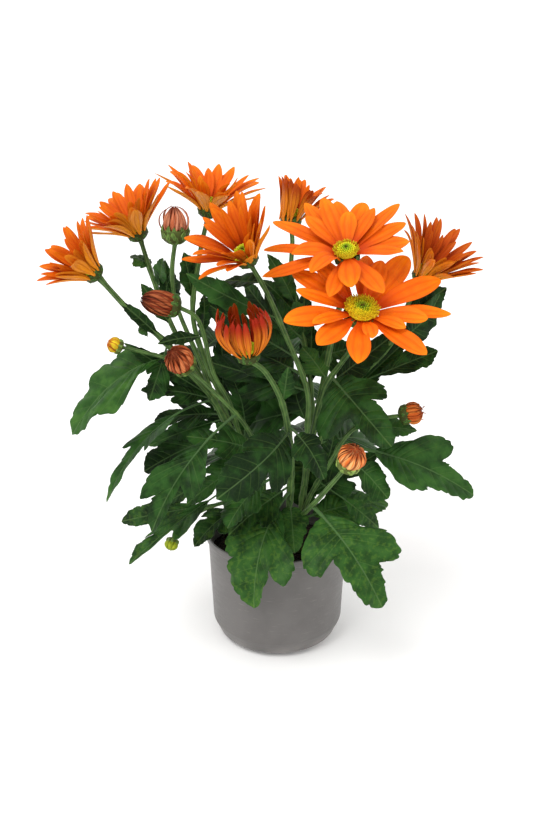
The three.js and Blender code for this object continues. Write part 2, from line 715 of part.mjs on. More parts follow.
// A round body about a flower's axis, from [height, radius] rows. "shape" scales the radius by
// the row and the turn.
function makeRound(flower, rows, sides, shape = () => 1) {
  const { seat, axis, right, rise } = frameOf(flower);
  return loft(rows.map(([height, radius], row) => Array.from({ length: sides }, (_, side) => {
    const turn = (side / sides) * Math.PI * 2;
    const out = Math.max(radius * shape(row, turn, side), 0.4);
    return offset(seat, [axis, height], [right, out * Math.cos(turn)], [rise, out * Math.sin(turn)]);
  })));
}

// The green cup of bracts under a flower.
function makeCalyx(flower, radius, height) {
  const rows = [[0, 0.34], [0.48, 0.94], [1, 0.98]];
  return makeRound(
    flower,
    rows.map(([share, out]) => [share * height, out * radius]),
    calyxShape.sides,
    (row, turn) => 1 + calyxShape.relief * Math.cos(turn * calyxShape.bracts + row * Math.PI),
  );
}

// Half of a petal's width at a share of its length.
function petalHalfWidth(share, width) {
  if (share < petalShape.widest) {
    const rise = Math.sin((share / petalShape.widest) * (Math.PI / 2));
    return (width / 2) * mix(petalShape.rootWidth, 1, rise);
  }
  const past = (share - petalShape.widest) / (1 - petalShape.widest);
  return (width / 2) * Math.sqrt(Math.max(1 - past ** 2.2, 0));
}

// The sections of a strap-shaped ray petal past its root. The centre line starts at the rim of
// the core and turns evenly from the first lift to the second. "room" is the angle on each side
// in which the petal stays clear of its neighbours.
function petalSections(flower, rim, foot, { azimuth, length, width, lift }, room) {
  const { seat, axis, right, rise } = frameOf(flower);
  const turn = radians(azimuth);
  const outward = offset(right.clone().multiplyScalar(Math.cos(turn)), [rise, Math.sin(turn)]);
  const across = new THREE.Vector3().crossVectors(axis, outward);
  const from = radians(lift[0]);
  const bend = radians(lift[1] - lift[0]) || 1e-6;
  return petalShape.stations.slice(1).map((share) => {
    const angle = from + bend * share;
    const out = rim + (length * (Math.sin(angle) - Math.sin(from))) / bend;
    const high = foot - (length * (Math.cos(angle) - Math.cos(from))) / bend;
    const centre = offset(seat, [axis, high], [outward, out]);
    const along = offset(outward.clone().multiplyScalar(Math.cos(angle)), [axis, Math.sin(angle)]);
    const normal = new THREE.Vector3().crossVectors(along, across);
    const thick = petalShape.thickness / 2;
    const half = room.map((angle) => (
      Math.min(petalHalfWidth(share, width), Math.max(out * Math.tan(radians(angle)) - gap, 0))));
    const sides = [-half[0], half[1]];
    return [[0, -1], [1, -1], [1, 1], [0, 1]].map(([hand, z]) => (
      offset(centre, [across, sides[hand]], [normal, z * thick])));
  });
}

// One layer: a flat many-sided step of the core, with a petal grown out of each wide side.
function makeLayer(flower, petals, step) {
  const { seat, axis, right, rise } = frameOf(flower);
  const positions = [];
  const index = [];
  const put = (point) => positions.push(point.x, point.y, point.z) / 3 - 1;
  const quad = (a, b, c, d) => index.push(a, b, c, a, c, d);
  const row = [...petals].sort((a, b) => a.azimuth - b.azimuth);
  const base = calyxShape.height + gap;
  const radius = flower.core - step.inset;
  const rooms = row.map((petal, i) => {
    const before = row.at(i - 1).azimuth - (i === 0 ? 360 : 0);
    const after = row[(i + 1) % row.length].azimuth + (i + 1 === row.length ? 360 : 0);
    return [(petal.azimuth - before) / 2, (after - petal.azimuth) / 2];
  });
  const corners = row.flatMap((petal, i) => {
    const own = Math.asin((petal.width * petalShape.rootWidth) / radius) / radians(1);
    const start = petal.azimuth - Math.min(own, rooms[i][0] - 1);
    const end = petal.azimuth + Math.min(own, rooms[i][1] - 1);
    return [start, end].map((azimuth) => {
      const turn = radians(azimuth);
      const rim = offset(seat, [right, radius * Math.cos(turn)], [rise, radius * Math.sin(turn)]);
      return [step.foot, step.root, step.top].map((height) => put(offset(rim, [axis, base + height])));
    });
  });
  for (let i = 1; i + 1 < corners.length; i += 1) {
    index.push(corners[0][0], corners[i + 1][0], corners[i][0]);
    index.push(corners[0][2], corners[i][2], corners[i + 1][2]);
  }
  row.forEach((petal, i) => {
    const start = corners[i * 2];
    const end = corners[i * 2 + 1];
    const next = corners[(i * 2 + 2) % corners.length];
    quad(end[0], next[0], next[1], end[1]);
    quad(end[1], next[1], next[2], end[2]);
    quad(start[0], end[0], end[1], start[1]);
    let near = [start[1], end[1], end[2], start[2]];
    const foot = base + (step.root + step.top) / 2;
    for (const section of petalSections(flower, radius, foot, petal, rooms[i])) {
      const far = section.map(put);
      near.forEach((corner, k) => {
        const k2 = (k + 1) % near.length;
        quad(corner, near[k2], far[k2], far[k]);
      });
      near = far;
    }
    quad(...near);
  });
  return solidFrom(positions, index);
}

// The petals of a bloom, from its hand-set list or its layers.
function petalsOf(bloom, seed) {
  if (bloom.petals) {
    return bloom.petals.map(([azimuth, length, width, root, tip, layer]) => (
      { azimuth, length, width, lift: [root, tip], layer }));
  }
  return bloom.layers.flatMap(({ count, first, length, width, lift, lean }, layer) => (
    Array.from({ length: count }, (_, i) => {
      const draw = (kind) => chance(seed * 7 + layer * 31 + i, kind) * 2 - 1;
      const azimuth = first + (360 / count) * (i + 0.14 * draw(1));
      const tilt = lean[1] * Math.cos(radians(azimuth - lean[0])) + 4 * draw(2);
      return {
        azimuth,
        length: length * (1 + 0.06 * draw(3)),
        width,
        lift: [lift[0] + tilt, lift[1] + tilt],
        layer,
      };
    })));
}

function makeRays(name, seed) {
  const petals = petalsOf(blooms[name], seed);
  return join(layerSteps.map((step, layer) => (
    makeLayer(blooms[name], petals.filter((petal) => petal.layer === layer), step))));
}

// The domed centre. Every other point of a row stands out, and the next row's lie between them.
function makeDisc(name) {
  const bloom = blooms[name];
  const foot = calyxShape.height + layerSteps[1].top + gap * 2;
  const { sides, rows } = bloom.petals ? discShape.fine : discShape.plain;
  return makeRound(
    bloom,
    rows.map(([high, out]) => [foot + high * discShape.height, out * bloom.disc]),
    sides,
    (row, turn, side) => (row === 0 ? 1 : 1 + discShape.relief * ((side + row) % 2 === 0 ? 1 : -1)),
  );
}

// A closed bud: petals folded over each other, as ridges that turn a little round the bud.
function makeBud(name) {
  const bud = buds[name];
  const young = bud.radius < 5;
  const ridges = young ? 6 : 8;
  const foot = bud.height * bud.calyx + gap;
  const rows = young
    ? [[0, 0.86], [0.4, 0.94], [0.75, 0.7], [1, 0.2]]
    : [[0, 0.86], [0.3, 1], [0.64, 0.92], [0.9, 0.54], [1, 0.16]];
  return makeRound(
    bud,
    rows.map(([high, out]) => [foot + high * (bud.height - foot), out * bud.radius]),
    ridges * 2,
    (row, turn, side) => 1 + 0.07 * ((side + Math.floor(row / 2)) % 2 === 0 ? 1 : -1),
  );
}

// ---------------------------------------------------------------- assembly

// One cutting: its stems, its leaves, and the green cups under its flowers.
function makeLeafyStem(plant) {
  const names = Object.keys(stems).filter((name) => stems[name].plant === plant);
  const solids = names.map(makeStem);
  for (const name of names) {
    if (blooms[name]) {
      solids.push(makeCalyx(blooms[name], blooms[name].core - 0.8, calyxShape.height));
    } else {
      solids.push(makeCalyx(buds[name], buds[name].radius * 0.98, buds[name].height * buds[name].calyx));
    }
  }
  leaves.forEach((leaf, number) => {
    if (names.includes(leaf[0])) {
      solids.push(makeLeaf(leaf, number));
    }
  });
  return join(solids);
}

const plantInPot = new THREE.Group();
plantInPot.add(meshOf("pot", makePot(), finishes.pot));
plantInPot.add(meshOf("soil", makeSoil(), finishes.soil));
for (const plant of ["left", "middle", "right"]) {
  plantInPot.add(meshOf(`leafy_stem_${plant}`, makeLeafyStem(plant), finishes.leafyStem));
}
Object.keys(blooms).forEach((name, seed) => {
  const label = name === "I" ? "half_open_bloom_I" : `bloom_${name}`;
  plantInPot.add(meshOf(`${label}_rays`, makeRays(name, seed), finishes.petals));
  plantInPot.add(meshOf(`${label}_disc`, makeDisc(name), finishes.disc));
});
for (const name of Object.keys(buds)) {
  const finish = buds[name].radius < 5 ? finishes.youngBud : finishes.bud;
  plantInPot.add(meshOf(`bud_${name}`, makeBud(name), finish));
}

export default plantInPot;
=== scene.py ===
import math

import bpy
import numpy as np
from mathutils import Matrix


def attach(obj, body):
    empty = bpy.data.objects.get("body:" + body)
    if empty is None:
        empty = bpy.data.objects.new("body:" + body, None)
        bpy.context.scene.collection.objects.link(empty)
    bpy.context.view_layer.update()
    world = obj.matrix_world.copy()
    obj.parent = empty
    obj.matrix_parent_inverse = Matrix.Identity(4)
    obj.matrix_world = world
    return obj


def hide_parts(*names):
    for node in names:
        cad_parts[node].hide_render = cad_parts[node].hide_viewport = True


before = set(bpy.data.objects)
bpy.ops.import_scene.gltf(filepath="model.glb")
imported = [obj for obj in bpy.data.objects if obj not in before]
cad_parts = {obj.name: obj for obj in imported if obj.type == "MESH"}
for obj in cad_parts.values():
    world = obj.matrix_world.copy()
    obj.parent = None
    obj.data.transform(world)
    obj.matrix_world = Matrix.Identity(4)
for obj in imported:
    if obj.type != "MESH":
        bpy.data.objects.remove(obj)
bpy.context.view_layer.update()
print("frame:", len(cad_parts), "nodes")

mm = 0.001
goldenTurn = math.pi * (3 - math.sqrt(5))

# ---- camera, floor and light

camera = {
    "place": (-0.0002, -0.6568, 0.4161),
    "pitch": 22,              # degrees below level
    "lens": 50,
    "sensor": 36,
    "reach": 60,
}

studio = {
    "floorSize": 30,
    "floor": "f4f3f2",
    "glow": 0.06,
    "world": 1.0,
    "suns": {                 # the way the light falls, its softness in degrees, and its strength
        "keySun": ((0.4, 0.62, -1.0), 30, 1.6),
        "fillSun": ((-0.8, 0.5, -0.9), 80, 0.3),
    },
}


def colour(code):
    # a colour code, as the linear values that shaders use
    parts = [int(code[i:i + 2], 16) / 255 for i in (0, 2, 4)]
    return [p / 12.92 if p <= 0.04045 else ((p + 0.055) / 1.055) ** 2.4 for p in parts] + [1]


def link(obj):
    bpy.context.scene.collection.objects.link(obj)
    return obj


def makeCamera():
    lens = bpy.data.cameras.new("camera")
    lens.lens = camera["lens"]
    lens.sensor_width = camera["sensor"]
    lens.clip_end = camera["reach"]
    holder = link(bpy.data.objects.new("camera", lens))
    holder.location = camera["place"]
    holder.rotation_euler = (math.radians(90 - camera["pitch"]), 0, 0)
    bpy.context.scene.camera = holder


def makeFloor():
    half = studio["floorSize"] / 2
    sheet = bpy.data.meshes.new("floor")
    corners = [(-half, -half, 0), (half, -half, 0), (half, half, 0), (-half, half, 0)]
    sheet.from_pydata(corners, [], [(0, 1, 2, 3)])
    matt = bpy.data.materials.new("floorMatt")
    matt.use_nodes = True
    shader = matt.node_tree.nodes["Principled BSDF"]
    shader.inputs["Base Color"].default_value = colour(studio["floor"])
    shader.inputs["Roughness"].default_value = 0.9
    shader.inputs["Specular IOR Level"].default_value = 0.1
    shader.inputs["Emission Color"].default_value = (1, 1, 1, 1)
    shader.inputs["Emission Strength"].default_value = studio["glow"]
    sheet.materials.append(matt)
    link(bpy.data.objects.new("floor", sheet))


def makeLights():
    for name, (way, softness, strength) in studio["suns"].items():
        sun = bpy.data.lights.new(name, "SUN")
        sun.angle = math.radians(softness)
        sun.energy = strength
        holder = link(bpy.data.objects.new(name, sun))
        holder.location = (0, 0, 1)
        level = math.hypot(way[0], way[1])
        holder.rotation_euler = (math.atan2(level, -way[2]), 0, math.atan2(-way[0], way[1]))
    world = bpy.data.worlds.new("softWhite")
    world.use_nodes = True
    world.node_tree.nodes["Background"].inputs["Strength"].default_value = studio["world"]
    world.node_tree.nodes["Background"].inputs["Color"].default_value = (1, 1, 1, 1)
    bpy.context.scene.world = world
    bpy.context.scene.view_settings.view_transform = "Standard"


makeCamera()
makeFloor()
makeLights()
print("camera, floor and light")

# ---- meshes

def chance(a, b):
    # a fixed number from 0 to 1 for each pair of whole numbers
    value = np.sin(np.asarray(a) * 12.9898 + np.asarray(b) * 78.233) * 43758.5453
    return value - np.floor(value)


def draws(number, kinds):
    # one fixed number from -1 to 1 for each kind of draw
    return [float(chance(number, kind)) * 2 - 1 for kind in kinds]


def field(*parts):
    # three numbers for each point, each given as a table or as one number for all
    return np.stack(np.broadcast_arrays(*parts), -1)


def unit(vector):
    vector = np.asarray(vector, float)
    return vector / np.linalg.norm(vector, axis=-1, keepdims=True)


def squareTo(vector, axis):
    # what is left of a vector once its part along the axis is taken out
    return unit(vector - np.sum(vector * axis, axis=-1, keepdims=True) * axis)


def crossAxes(axis):
    right = squareTo(np.array([1.0, 0, 0]), axis)
    return right, np.cross(axis, right)


def flowerFrame(flower):
    axis = unit(flower["axis"])
    right, rise = crossAxes(axis)
    return np.array(flower["seat"], float), axis, right, rise


def curveThrough(points, t):
    # a smooth curve through the points, with t from 0 to 1 shared evenly over the spans
    points = np.asarray(points, float)
    spans = len(points) - 1
    place = np.clip(np.asarray(t, float), 0, 1) * spans
    span = np.minimum(place.astype(int), spans - 1)
    w = (place - span)[..., None]
    row = np.vstack([2 * points[0] - points[1], points, 2 * points[-1] - points[-2]])
    a, b, c, d = (row[span + k] for k in range(4))
    into, out = (c - a) / 2, (d - b) / 2
    return b + into * w + (3 * (c - b) - 2 * into - out) * w ** 2 + (2 * (b - c) + into + out) * w ** 3


def ease(value, low, high):
    share = np.clip((np.asarray(value, float) - low) / (high - low), 0, 1)
    return share * share * (3 - 2 * share)


def newSkin():
    return {"points": [], "faces": [], "count": 0, "values": {}}


def addPart(skin, points, faces, values):
    # values holds one three-part number for each point, under the name that a material reads
    skin["points"].append(points.reshape(-1, 3))
    skin["faces"].append(np.asarray(faces) + skin["count"])
    skin["count"] += points.reshape(-1, 3).shape[0]
    for name, value in values.items():
        spread = np.broadcast_to(value, points.shape).reshape(-1, 3)
        skin["values"].setdefault(name, []).append(spread)


def loopFaces(rows, size):
    # quads between closed loops of points, facing out where the loops run the right-hand way
    row, side = np.meshgrid(np.arange(rows - 1), np.arange(size), indexing="ij")
    after = (side + 1) % size
    return np.stack([row * size + side, row * size + after,
                     (row + 1) * size + after, (row + 1) * size + side], -1).reshape(-1, 4)


def addSheet(skin, upper, lower, values, lowerValues):
    # a thin closed blade: rows run along it and columns across it
    rows, cols = upper.shape[:2]
    loops = np.concatenate([upper, lower[:, ::-1]], 1)
    faces = [loopFaces(rows, 2 * cols)[:, ::-1]]
    across = np.arange(cols - 1)
    cap = np.stack([across, across + 1, 2 * cols - 2 - across, 2 * cols - 1 - across], -1)
    faces += [cap, cap[:, ::-1] + (rows - 1) * 2 * cols]
    joined = {name: np.concatenate([np.broadcast_to(value, upper.shape),
                                    np.broadcast_to(lowerValues[name], lower.shape)[:, ::-1]], 1)
              for name, value in values.items()}
    addPart(skin, loops, np.concatenate(faces), joined)


def addTube(skin, rings, values):
    # a closed tube through rings of points, with a small point at each end
    rows, size = rings.shape[:2]
    shrink = 0.02
    ends = []
    for ring in (rings[:1], rings[-1:]):
        middle = ring.mean(1, keepdims=True)
        ends.append(middle + (ring - middle) * shrink)
    loops = np.concatenate([ends[0], rings, ends[1]])
    faces = loopFaces(rows + 2, size)
    quads = np.arange(1, size - 2, 2)
    cap = np.stack([quads * 0, quads + 2, quads + 1, quads], -1)
    faces = np.concatenate([faces, cap, cap[:, ::-1] + (rows + 1) * size])
    grown = {}
    for name, value in values.items():
        spread = np.broadcast_to(value, rings.shape)
        grown[name] = np.concatenate([spread[:1], spread, spread[-1:]])
    addPart(skin, loops, faces, grown)


def meshFrom(name, skin, finish=None, scale=mm, sharp=60):
    mesh = bpy.data.meshes.new(name)
    points = np.concatenate(skin["points"]) * scale
    mesh.from_pydata(points.tolist(), [], np.concatenate(skin["faces"]).tolist())
    for key, rows in skin["values"].items():
        carried = mesh.attributes.new(key, "FLOAT_VECTOR", "POINT")
        carried.data.foreach_set("vector", np.concatenate(rows).astype(np.float32).ravel())
    mesh.shade_smooth()
    mesh.set_sharp_from_angle(angle=math.radians(sharp))
    if finish:
        mesh.materials.append(finish)
    return mesh


def nodeOf(name):
    # what the frame calls a bloom, before _rays or _disc
    return "half_open_bloom_I" if name == "I" else "bloom_" + name


def finishPiece(name, mesh, slot, *nodes):
    piece = link(bpy.data.objects.new(name, mesh))
    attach(piece, "root")
    if nodes:
        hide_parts(*nodes)
    return piece


# ---- node trees

def addNode(tree, kind, inputs=None, **settings):
    node = tree.nodes.new(kind)
    for key, value in settings.items():
        setattr(node, key, value)
    for key, value in (inputs or {}).items():
        if isinstance(value, bpy.types.NodeSocket):
            tree.links.new(value, node.inputs[key])
        else:
            node.inputs[key].default_value = value
    return node


def calc(tree, operation, first, second=0.0, third=0.0):
    # one step of arithmetic
    return addNode(tree, "ShaderNodeMath", {0: first, 1: second, 2: third}, operation=operation).outputs[0]


def blend(tree, amount, first, second):
    return addNode(tree, "ShaderNodeMix", {0: amount, 6: first, 7: second}, data_type="RGBA").outputs[2]


def fade(tree, value, low, high, start=0.0, end=1.0):
    # eases from start to end as the value goes from low to high
    node = addNode(tree, "ShaderNodeMapRange", {"Value": value, "From Min": low, "From Max": high,
                   "To Min": start, "To Max": end}, interpolation_type="SMOOTHSTEP")
    return node.outputs["Result"]


def readField(tree, name):
    # what a mesh carries under this name, as one vector
    return addNode(tree, "ShaderNodeAttribute", attribute_name=name).outputs["Vector"]


def readParts(tree, name):
    # the same, as its three numbers
    return addNode(tree, "ShaderNodeSeparateXYZ", {"Vector": readField(tree, name)}).outputs[:]


def newGroup(name, inputs, outputs):
    group = bpy.data.node_groups.new(name, "ShaderNodeTree")
    kinds = {"value": "NodeSocketFloat", "vector": "NodeSocketVector", "colour": "NodeSocketColor"}
    for key, kind in inputs.items():
        group.interface.new_socket(key, in_out="INPUT", socket_type=kinds[kind])
    for key, kind in outputs.items():
        group.interface.new_socket(key, in_out="OUTPUT", socket_type=kinds[kind])
    return group, group.nodes.new("NodeGroupInput").outputs, group.nodes.new("NodeGroupOutput")


def useGroup(tree, group, **inputs):
    return addNode(tree, "ShaderNodeGroup", inputs, node_tree=group).outputs[0]


def makeFibreGroup():
    # fine streaks that run along a petal, a bract or a stem
    group, given, out = newGroup("fibre", {"place": "vector", "pitch": "value", "stretch": "value"},
                                 {"streak": "value"})
    across = calc(group, "DIVIDE", 1.0, given["pitch"])
    along = calc(group, "DIVIDE", across, given["stretch"])
    size = addNode(group, "ShaderNodeCombineXYZ", {"X": across, "Y": along, "Z": 1.0})
    scaled = addNode(group, "ShaderNodeVectorMath", {0: given["place"], 1: size.outputs[0]},
                     operation="MULTIPLY")
    noise = addNode(group, "ShaderNodeTexNoise", {"Vector": scaled.outputs[0], "Scale": 1.0, "Detail": 2.0})
    group.links.new(fade(group, noise.outputs["Fac"], 0.3, 0.7), out.inputs["streak"])
    return group


def makePatchGroup():
    # soft uneven patches
    group, given, out = newGroup("patches", {"place": "vector", "size": "value"}, {"patch": "value"})
    scale = calc(group, "DIVIDE", 1.0, given["size"])
    noise = addNode(group, "ShaderNodeTexNoise", {"Vector": given["place"], "Scale": scale, "Detail": 3.0})
    group.links.new(fade(group, noise.outputs["Fac"], 0.32, 0.68), out.inputs["patch"])
    return group


fibre = makeFibreGroup()
patches = makePatchGroup()


def newFinish(name, roughness, **constants):
    # a material with its shader; constants are set on the shader's own sockets
    finish = bpy.data.materials.new(name)
    finish.use_nodes = True
    tree = finish.node_tree
    shader = tree.nodes["Principled BSDF"]
    shader.inputs["Roughness"].default_value = roughness
    for key, value in constants.items():
        shader.inputs[key.replace("_", " ")].default_value = value
    return finish, tree, shader


def bumpOn(tree, shader, height, depth, strength=1.0):
    bump = addNode(tree, "ShaderNodeBump", {"Height": height, "Distance": depth * mm, "Strength": strength})
    tree.links.new(bump.outputs["Normal"], shader.inputs["Normal"])

# ---- pot and soil

pot = {
    "height": 73.3,
    "rim": 45.5,
    "lip": 4.4,
    "wallTop": 44.0,
    "wallFoot": 41.6,
    "foot": 13.0,
    "floor": 31.5,
    "wall": 1.1,
    "base": 1.4,
    "drainHoles": 4,
    "drainRadius": 3.2,
    "drainCircle": 24.0,
    "recess": (4, 3.2, 0.9),  # under the floor: where it ends and starts inside the foot, and its depth
    "footBulge": (0.6, 0.32),  # of the way from the floor to the wall, out and up
    "lipStep": 0.6,           # the slopes under and inside the lip
    "lipTop": 1.3,            # width of the lip's flat top
    "lipFoot": 1.6,
    "edge": 0.1,
    "middle": 0.4,
    "rounding": 0.9,
    "turns": 144,
    "plastic": "5b5856",
    "worn": "6e6b69",
    "dust": "928c89",
}

soil = {
    "level": 59.0,
    "holes": [(-8, -4), (5, -12), (14, -3)],
    "clearance": 1.7,         # from the pot's outer wall
    "rings": 30,
    "sides": 120,
    "lumps": [(0.21, 0.33, 0.5), (-0.43, 0.25, 0.35), (0.9, -0.7, 0.3), (-1.3, -1.6, 0.2), (2.1, 1.2, 0.15)],
    "dip": 1.2,               # round each stem and along the wall
    "crumbs": 1500,
    "seed": 4,
    "crumbSize": 0.42,
    "crumbSides": 5,
    "crumbOut": (0.55, 0.98, 0.5),
    "crumbLevels": (-0.8, 0.0, 0.8),
    "peat": "1a1512",
    "dry": "3d2f25",
}


def makePotPlastic():
    finish, tree, shader = newFinish("potPlastic", 0.42, Specular_IOR_Level=0.5)
    place = addNode(tree, "ShaderNodeTexCoord").outputs["Object"]
    parts = addNode(tree, "ShaderNodeSeparateXYZ", {"Vector": place})
    mottle = useGroup(tree, patches, place=place, size=0.02)
    fine = useGroup(tree, patches, place=place, size=0.0012)
    turned = addNode(tree, "ShaderNodeVectorMath", {0: place, 1: (1, 1, 9)}, operation="MULTIPLY").outputs[0]
    scuff = addNode(tree, "ShaderNodeTexNoise",
                    {"Vector": turned, "Scale": 120.0, "Detail": 3.0}).outputs["Fac"]
    scuffed = fade(tree, scuff, 0.6, 0.75)
    low = fade(tree, parts.outputs["Z"], 0.0, 0.014, 0.55, 0.0)
    base = blend(tree, calc(tree, "MULTIPLY", mottle, 0.35), colour(pot["plastic"]), colour(pot["worn"]))
    worn = blend(tree, calc(tree, "MULTIPLY", scuffed, 0.3), base, colour(pot["dust"]))
    dusty = blend(tree, calc(tree, "MULTIPLY", low, mottle), worn, colour(pot["dust"]))
    tree.links.new(dusty, shader.inputs["Base Color"])
    rough = calc(tree, "ADD", fade(tree, scuff, 0.35, 0.75, 0.36, 0.5), calc(tree, "MULTIPLY", fine, 0.05))
    tree.links.new(rough, shader.inputs["Roughness"])
    bumpOn(tree, shader, calc(tree, "ADD", fine, scuffed), 0.03, 0.5)
    return finish


def roundedProfile(corners, radius, steps=5):
    # softens each corner of an open outline with a short curve
    rounded = [np.array(corners[0], float)]
    for before, corner, after in zip(corners, corners[1:], corners[2:]):
        before, corner, after = (np.array(p, float) for p in (before, corner, after))
        reach = min(radius, np.linalg.norm(before - corner) / 2.2, np.linalg.norm(after - corner) / 2.2)
        start = corner + unit(before - corner) * reach
        end = corner + unit(after - corner) * reach
        for t in np.linspace(0, 1, steps):
            rounded.append(start * (1 - t) ** 2 + corner * 2 * t * (1 - t) + end * t * t)
    rounded.append(np.array(corners[-1], float))
    return np.array(rounded)


def makePot():
    wallTop = pot["height"] - pot["lip"]
    rimTop = pot["height"] - pot["edge"]
    swell = pot["wallFoot"] - pot["floor"]
    recessIn, recessOut, recessDepth = pot["recess"]
    bulgeOut, bulgeUp = pot["footBulge"]
    outline = [
        (pot["middle"], recessDepth),
        (pot["floor"] - recessIn, recessDepth),
        (pot["floor"] - recessOut, 0),
        (pot["floor"], 0),
        (pot["floor"] + swell * bulgeOut, pot["foot"] * bulgeUp),
        (pot["wallFoot"], pot["foot"]),
        (pot["wallTop"], wallTop - pot["lipStep"]),
        (pot["rim"] - pot["edge"], wallTop),
        (pot["rim"], rimTop),
        (pot["rim"] - pot["lipTop"], rimTop),
        (pot["rim"] - pot["lipFoot"], wallTop + pot["lipStep"]),
        (pot["wallTop"] - pot["wall"], wallTop - 1),
        (pot["wallFoot"] - pot["wall"], pot["foot"]),
        (pot["floor"] - 0.6, pot["base"]),
        (pot["middle"], pot["base"]),
    ]
    profile = roundedProfile(outline, pot["rounding"])
    turn = np.linspace(0, 2 * math.pi, pot["turns"], endpoint=False)
    rings = field(profile[:, :1] * np.cos(turn), profile[:, :1] * np.sin(turn), profile[:, 1:])
    rows, size = rings.shape[:2]
    middles = [list(range(size))[::-1], [(rows - 1) * size + side for side in range(size)]]
    lathed = bpy.data.meshes.new("lathed")
    faces = loopFaces(rows, size).tolist() + middles
    lathed.from_pydata((rings.reshape(-1, 3) * mm).tolist(), [], faces)
    lathed.materials.append(makePotPlastic())
    shell = link(bpy.data.objects.new("potShell", lathed))
    drills = newSkin()
    for i in range(pot["drainHoles"]):
        middle = (i + 0.5) / pot["drainHoles"] * 2 * math.pi
        ring = field(math.cos(middle) * pot["drainCircle"] + pot["drainRadius"] * np.cos(turn[::6]),
                     math.sin(middle) * pot["drainCircle"] + pot["drainRadius"] * np.sin(turn[::6]), 0)
        addTube(drills, np.stack([ring - (0, 0, 5), ring + (0, 0, 5)]), {})
    drill = link(bpy.data.objects.new("drills", meshFrom("drills", drills)))
    cut = shell.modifiers.new("drain", "BOOLEAN")
    cut.operation = "DIFFERENCE"
    cut.object = drill
    finished = plainMesh(shell, "potShell")
    finished.shade_smooth()
    finished.set_sharp_from_angle(angle=math.radians(40))
    bpy.data.objects.remove(drill)
    finishPiece("potShell", finished, "pot", "pot")


def plainMesh(holder, name):
    # the object as its modifiers leave it, and the object itself removed
    depsgraph = bpy.context.evaluated_depsgraph_get()
    mesh = bpy.data.meshes.new_from_object(holder.evaluated_get(depsgraph),
                                           preserve_all_data_layers=True, depsgraph=depsgraph)
    bpy.data.objects.remove(holder)
    mesh.name = name
    return mesh


def newTree(name, inputs):
    # a Geometry Nodes tree with named inputs after its geometry
    kinds = {"number": "NodeSocketFloat", "whole": "NodeSocketInt", "object": "NodeSocketObject",
             "finish": "NodeSocketMaterial"}
    tree = bpy.data.node_groups.new(name, "GeometryNodeTree")
    tree.interface.new_socket("geometry", in_out="INPUT", socket_type="NodeSocketGeometry")
    for key, kind in inputs.items():
        tree.interface.new_socket(key, in_out="INPUT", socket_type=kinds[kind])
    tree.interface.new_socket("geometry", in_out="OUTPUT", socket_type="NodeSocketGeometry")
    return tree, tree.nodes.new("NodeGroupInput").outputs, tree.nodes.new("NodeGroupOutput")


def endTree(tree, out, geometry, finish):
    # what the tree has placed, as one plain mesh in its finish
    plain = addNode(tree, "GeometryNodeRealizeInstances", {0: geometry})
    painted = addNode(tree, "GeometryNodeSetMaterial", {"Geometry": plain.outputs[0], "Material": finish})
    tree.links.new(painted.outputs[0], out.inputs[0])
    return tree


def growWith(tree, name, base, values):
    # runs a tree on a mesh with the values given by name, and returns the plain mesh that it makes
    holder = link(bpy.data.objects.new(name, base))
    modifier = holder.modifiers.new(tree.name, "NODES")
    modifier.node_group = tree
    for socket in tree.interface.items_tree:
        if socket.in_out == "INPUT" and socket.name in values:
            modifier[socket.identifier] = values[socket.name]
    return plainMesh(holder, name)


def makeScatterTree():
    # crumbs strewn over a surface, turned, tilted and sized at random
    tree, given, out = newTree("scatter", {"piece": "object", "count": "number", "size": "number",
                                           "spread": "number", "seed": "whole", "finish": "finish",
                                           "lean": "number"})
    faceArea = addNode(tree, "GeometryNodeInputMeshFaceArea").outputs[0]
    areas = addNode(tree, "GeometryNodeAttributeStatistic", {0: given["geometry"], 2: faceArea},
                    domain="FACE")
    density = calc(tree, "DIVIDE", given["count"], areas.outputs["Sum"])
    strewn = addNode(tree, "GeometryNodeDistributePointsOnFaces",
                     {"Mesh": given["geometry"], "Density": density, "Seed": given["seed"]})
    unevenly = addNode(tree, "FunctionNodeRandomValue", {"Min": 0.0, "Max": 1.0, "Seed": given["seed"]},
                       data_type="FLOAT").outputs["Value"]
    cubed = calc(tree, "POWER", unevenly, 3.0)
    grown = calc(tree, "MULTIPLY_ADD", cubed, given["spread"], 1.0)
    scale = calc(tree, "MULTIPLY", grown, given["size"])
    against = calc(tree, "MULTIPLY", given["lean"], -1.0)
    most = addNode(tree, "ShaderNodeCombineXYZ", {"X": given["lean"], "Y": given["lean"], "Z": math.pi})
    least = addNode(tree, "ShaderNodeCombineXYZ", {"X": against, "Y": against, "Z": -math.pi})
    turned = addNode(tree, "FunctionNodeRandomValue", {"Min": least.outputs[0], "Max": most.outputs[0],
                     "Seed": given["seed"]}, data_type="FLOAT_VECTOR").outputs["Value"]
    turn = addNode(tree, "FunctionNodeEulerToRotation", {0: turned})
    stood = addNode(tree, "FunctionNodeRotateRotation", {0: strewn.outputs["Rotation"], 1: turn.outputs[0]},
                    rotation_space="LOCAL")
    shape = addNode(tree, "GeometryNodeObjectInfo", {"Object": given["piece"]}).outputs["Geometry"]
    put = addNode(tree, "GeometryNodeInstanceOnPoints",
                  {"Points": strewn.outputs["Points"], "Instance": shape,
                   "Rotation": stood.outputs[0], "Scale": scale})
    return endTree(tree, out, put.outputs[0], given["finish"])


scatter = makeScatterTree()


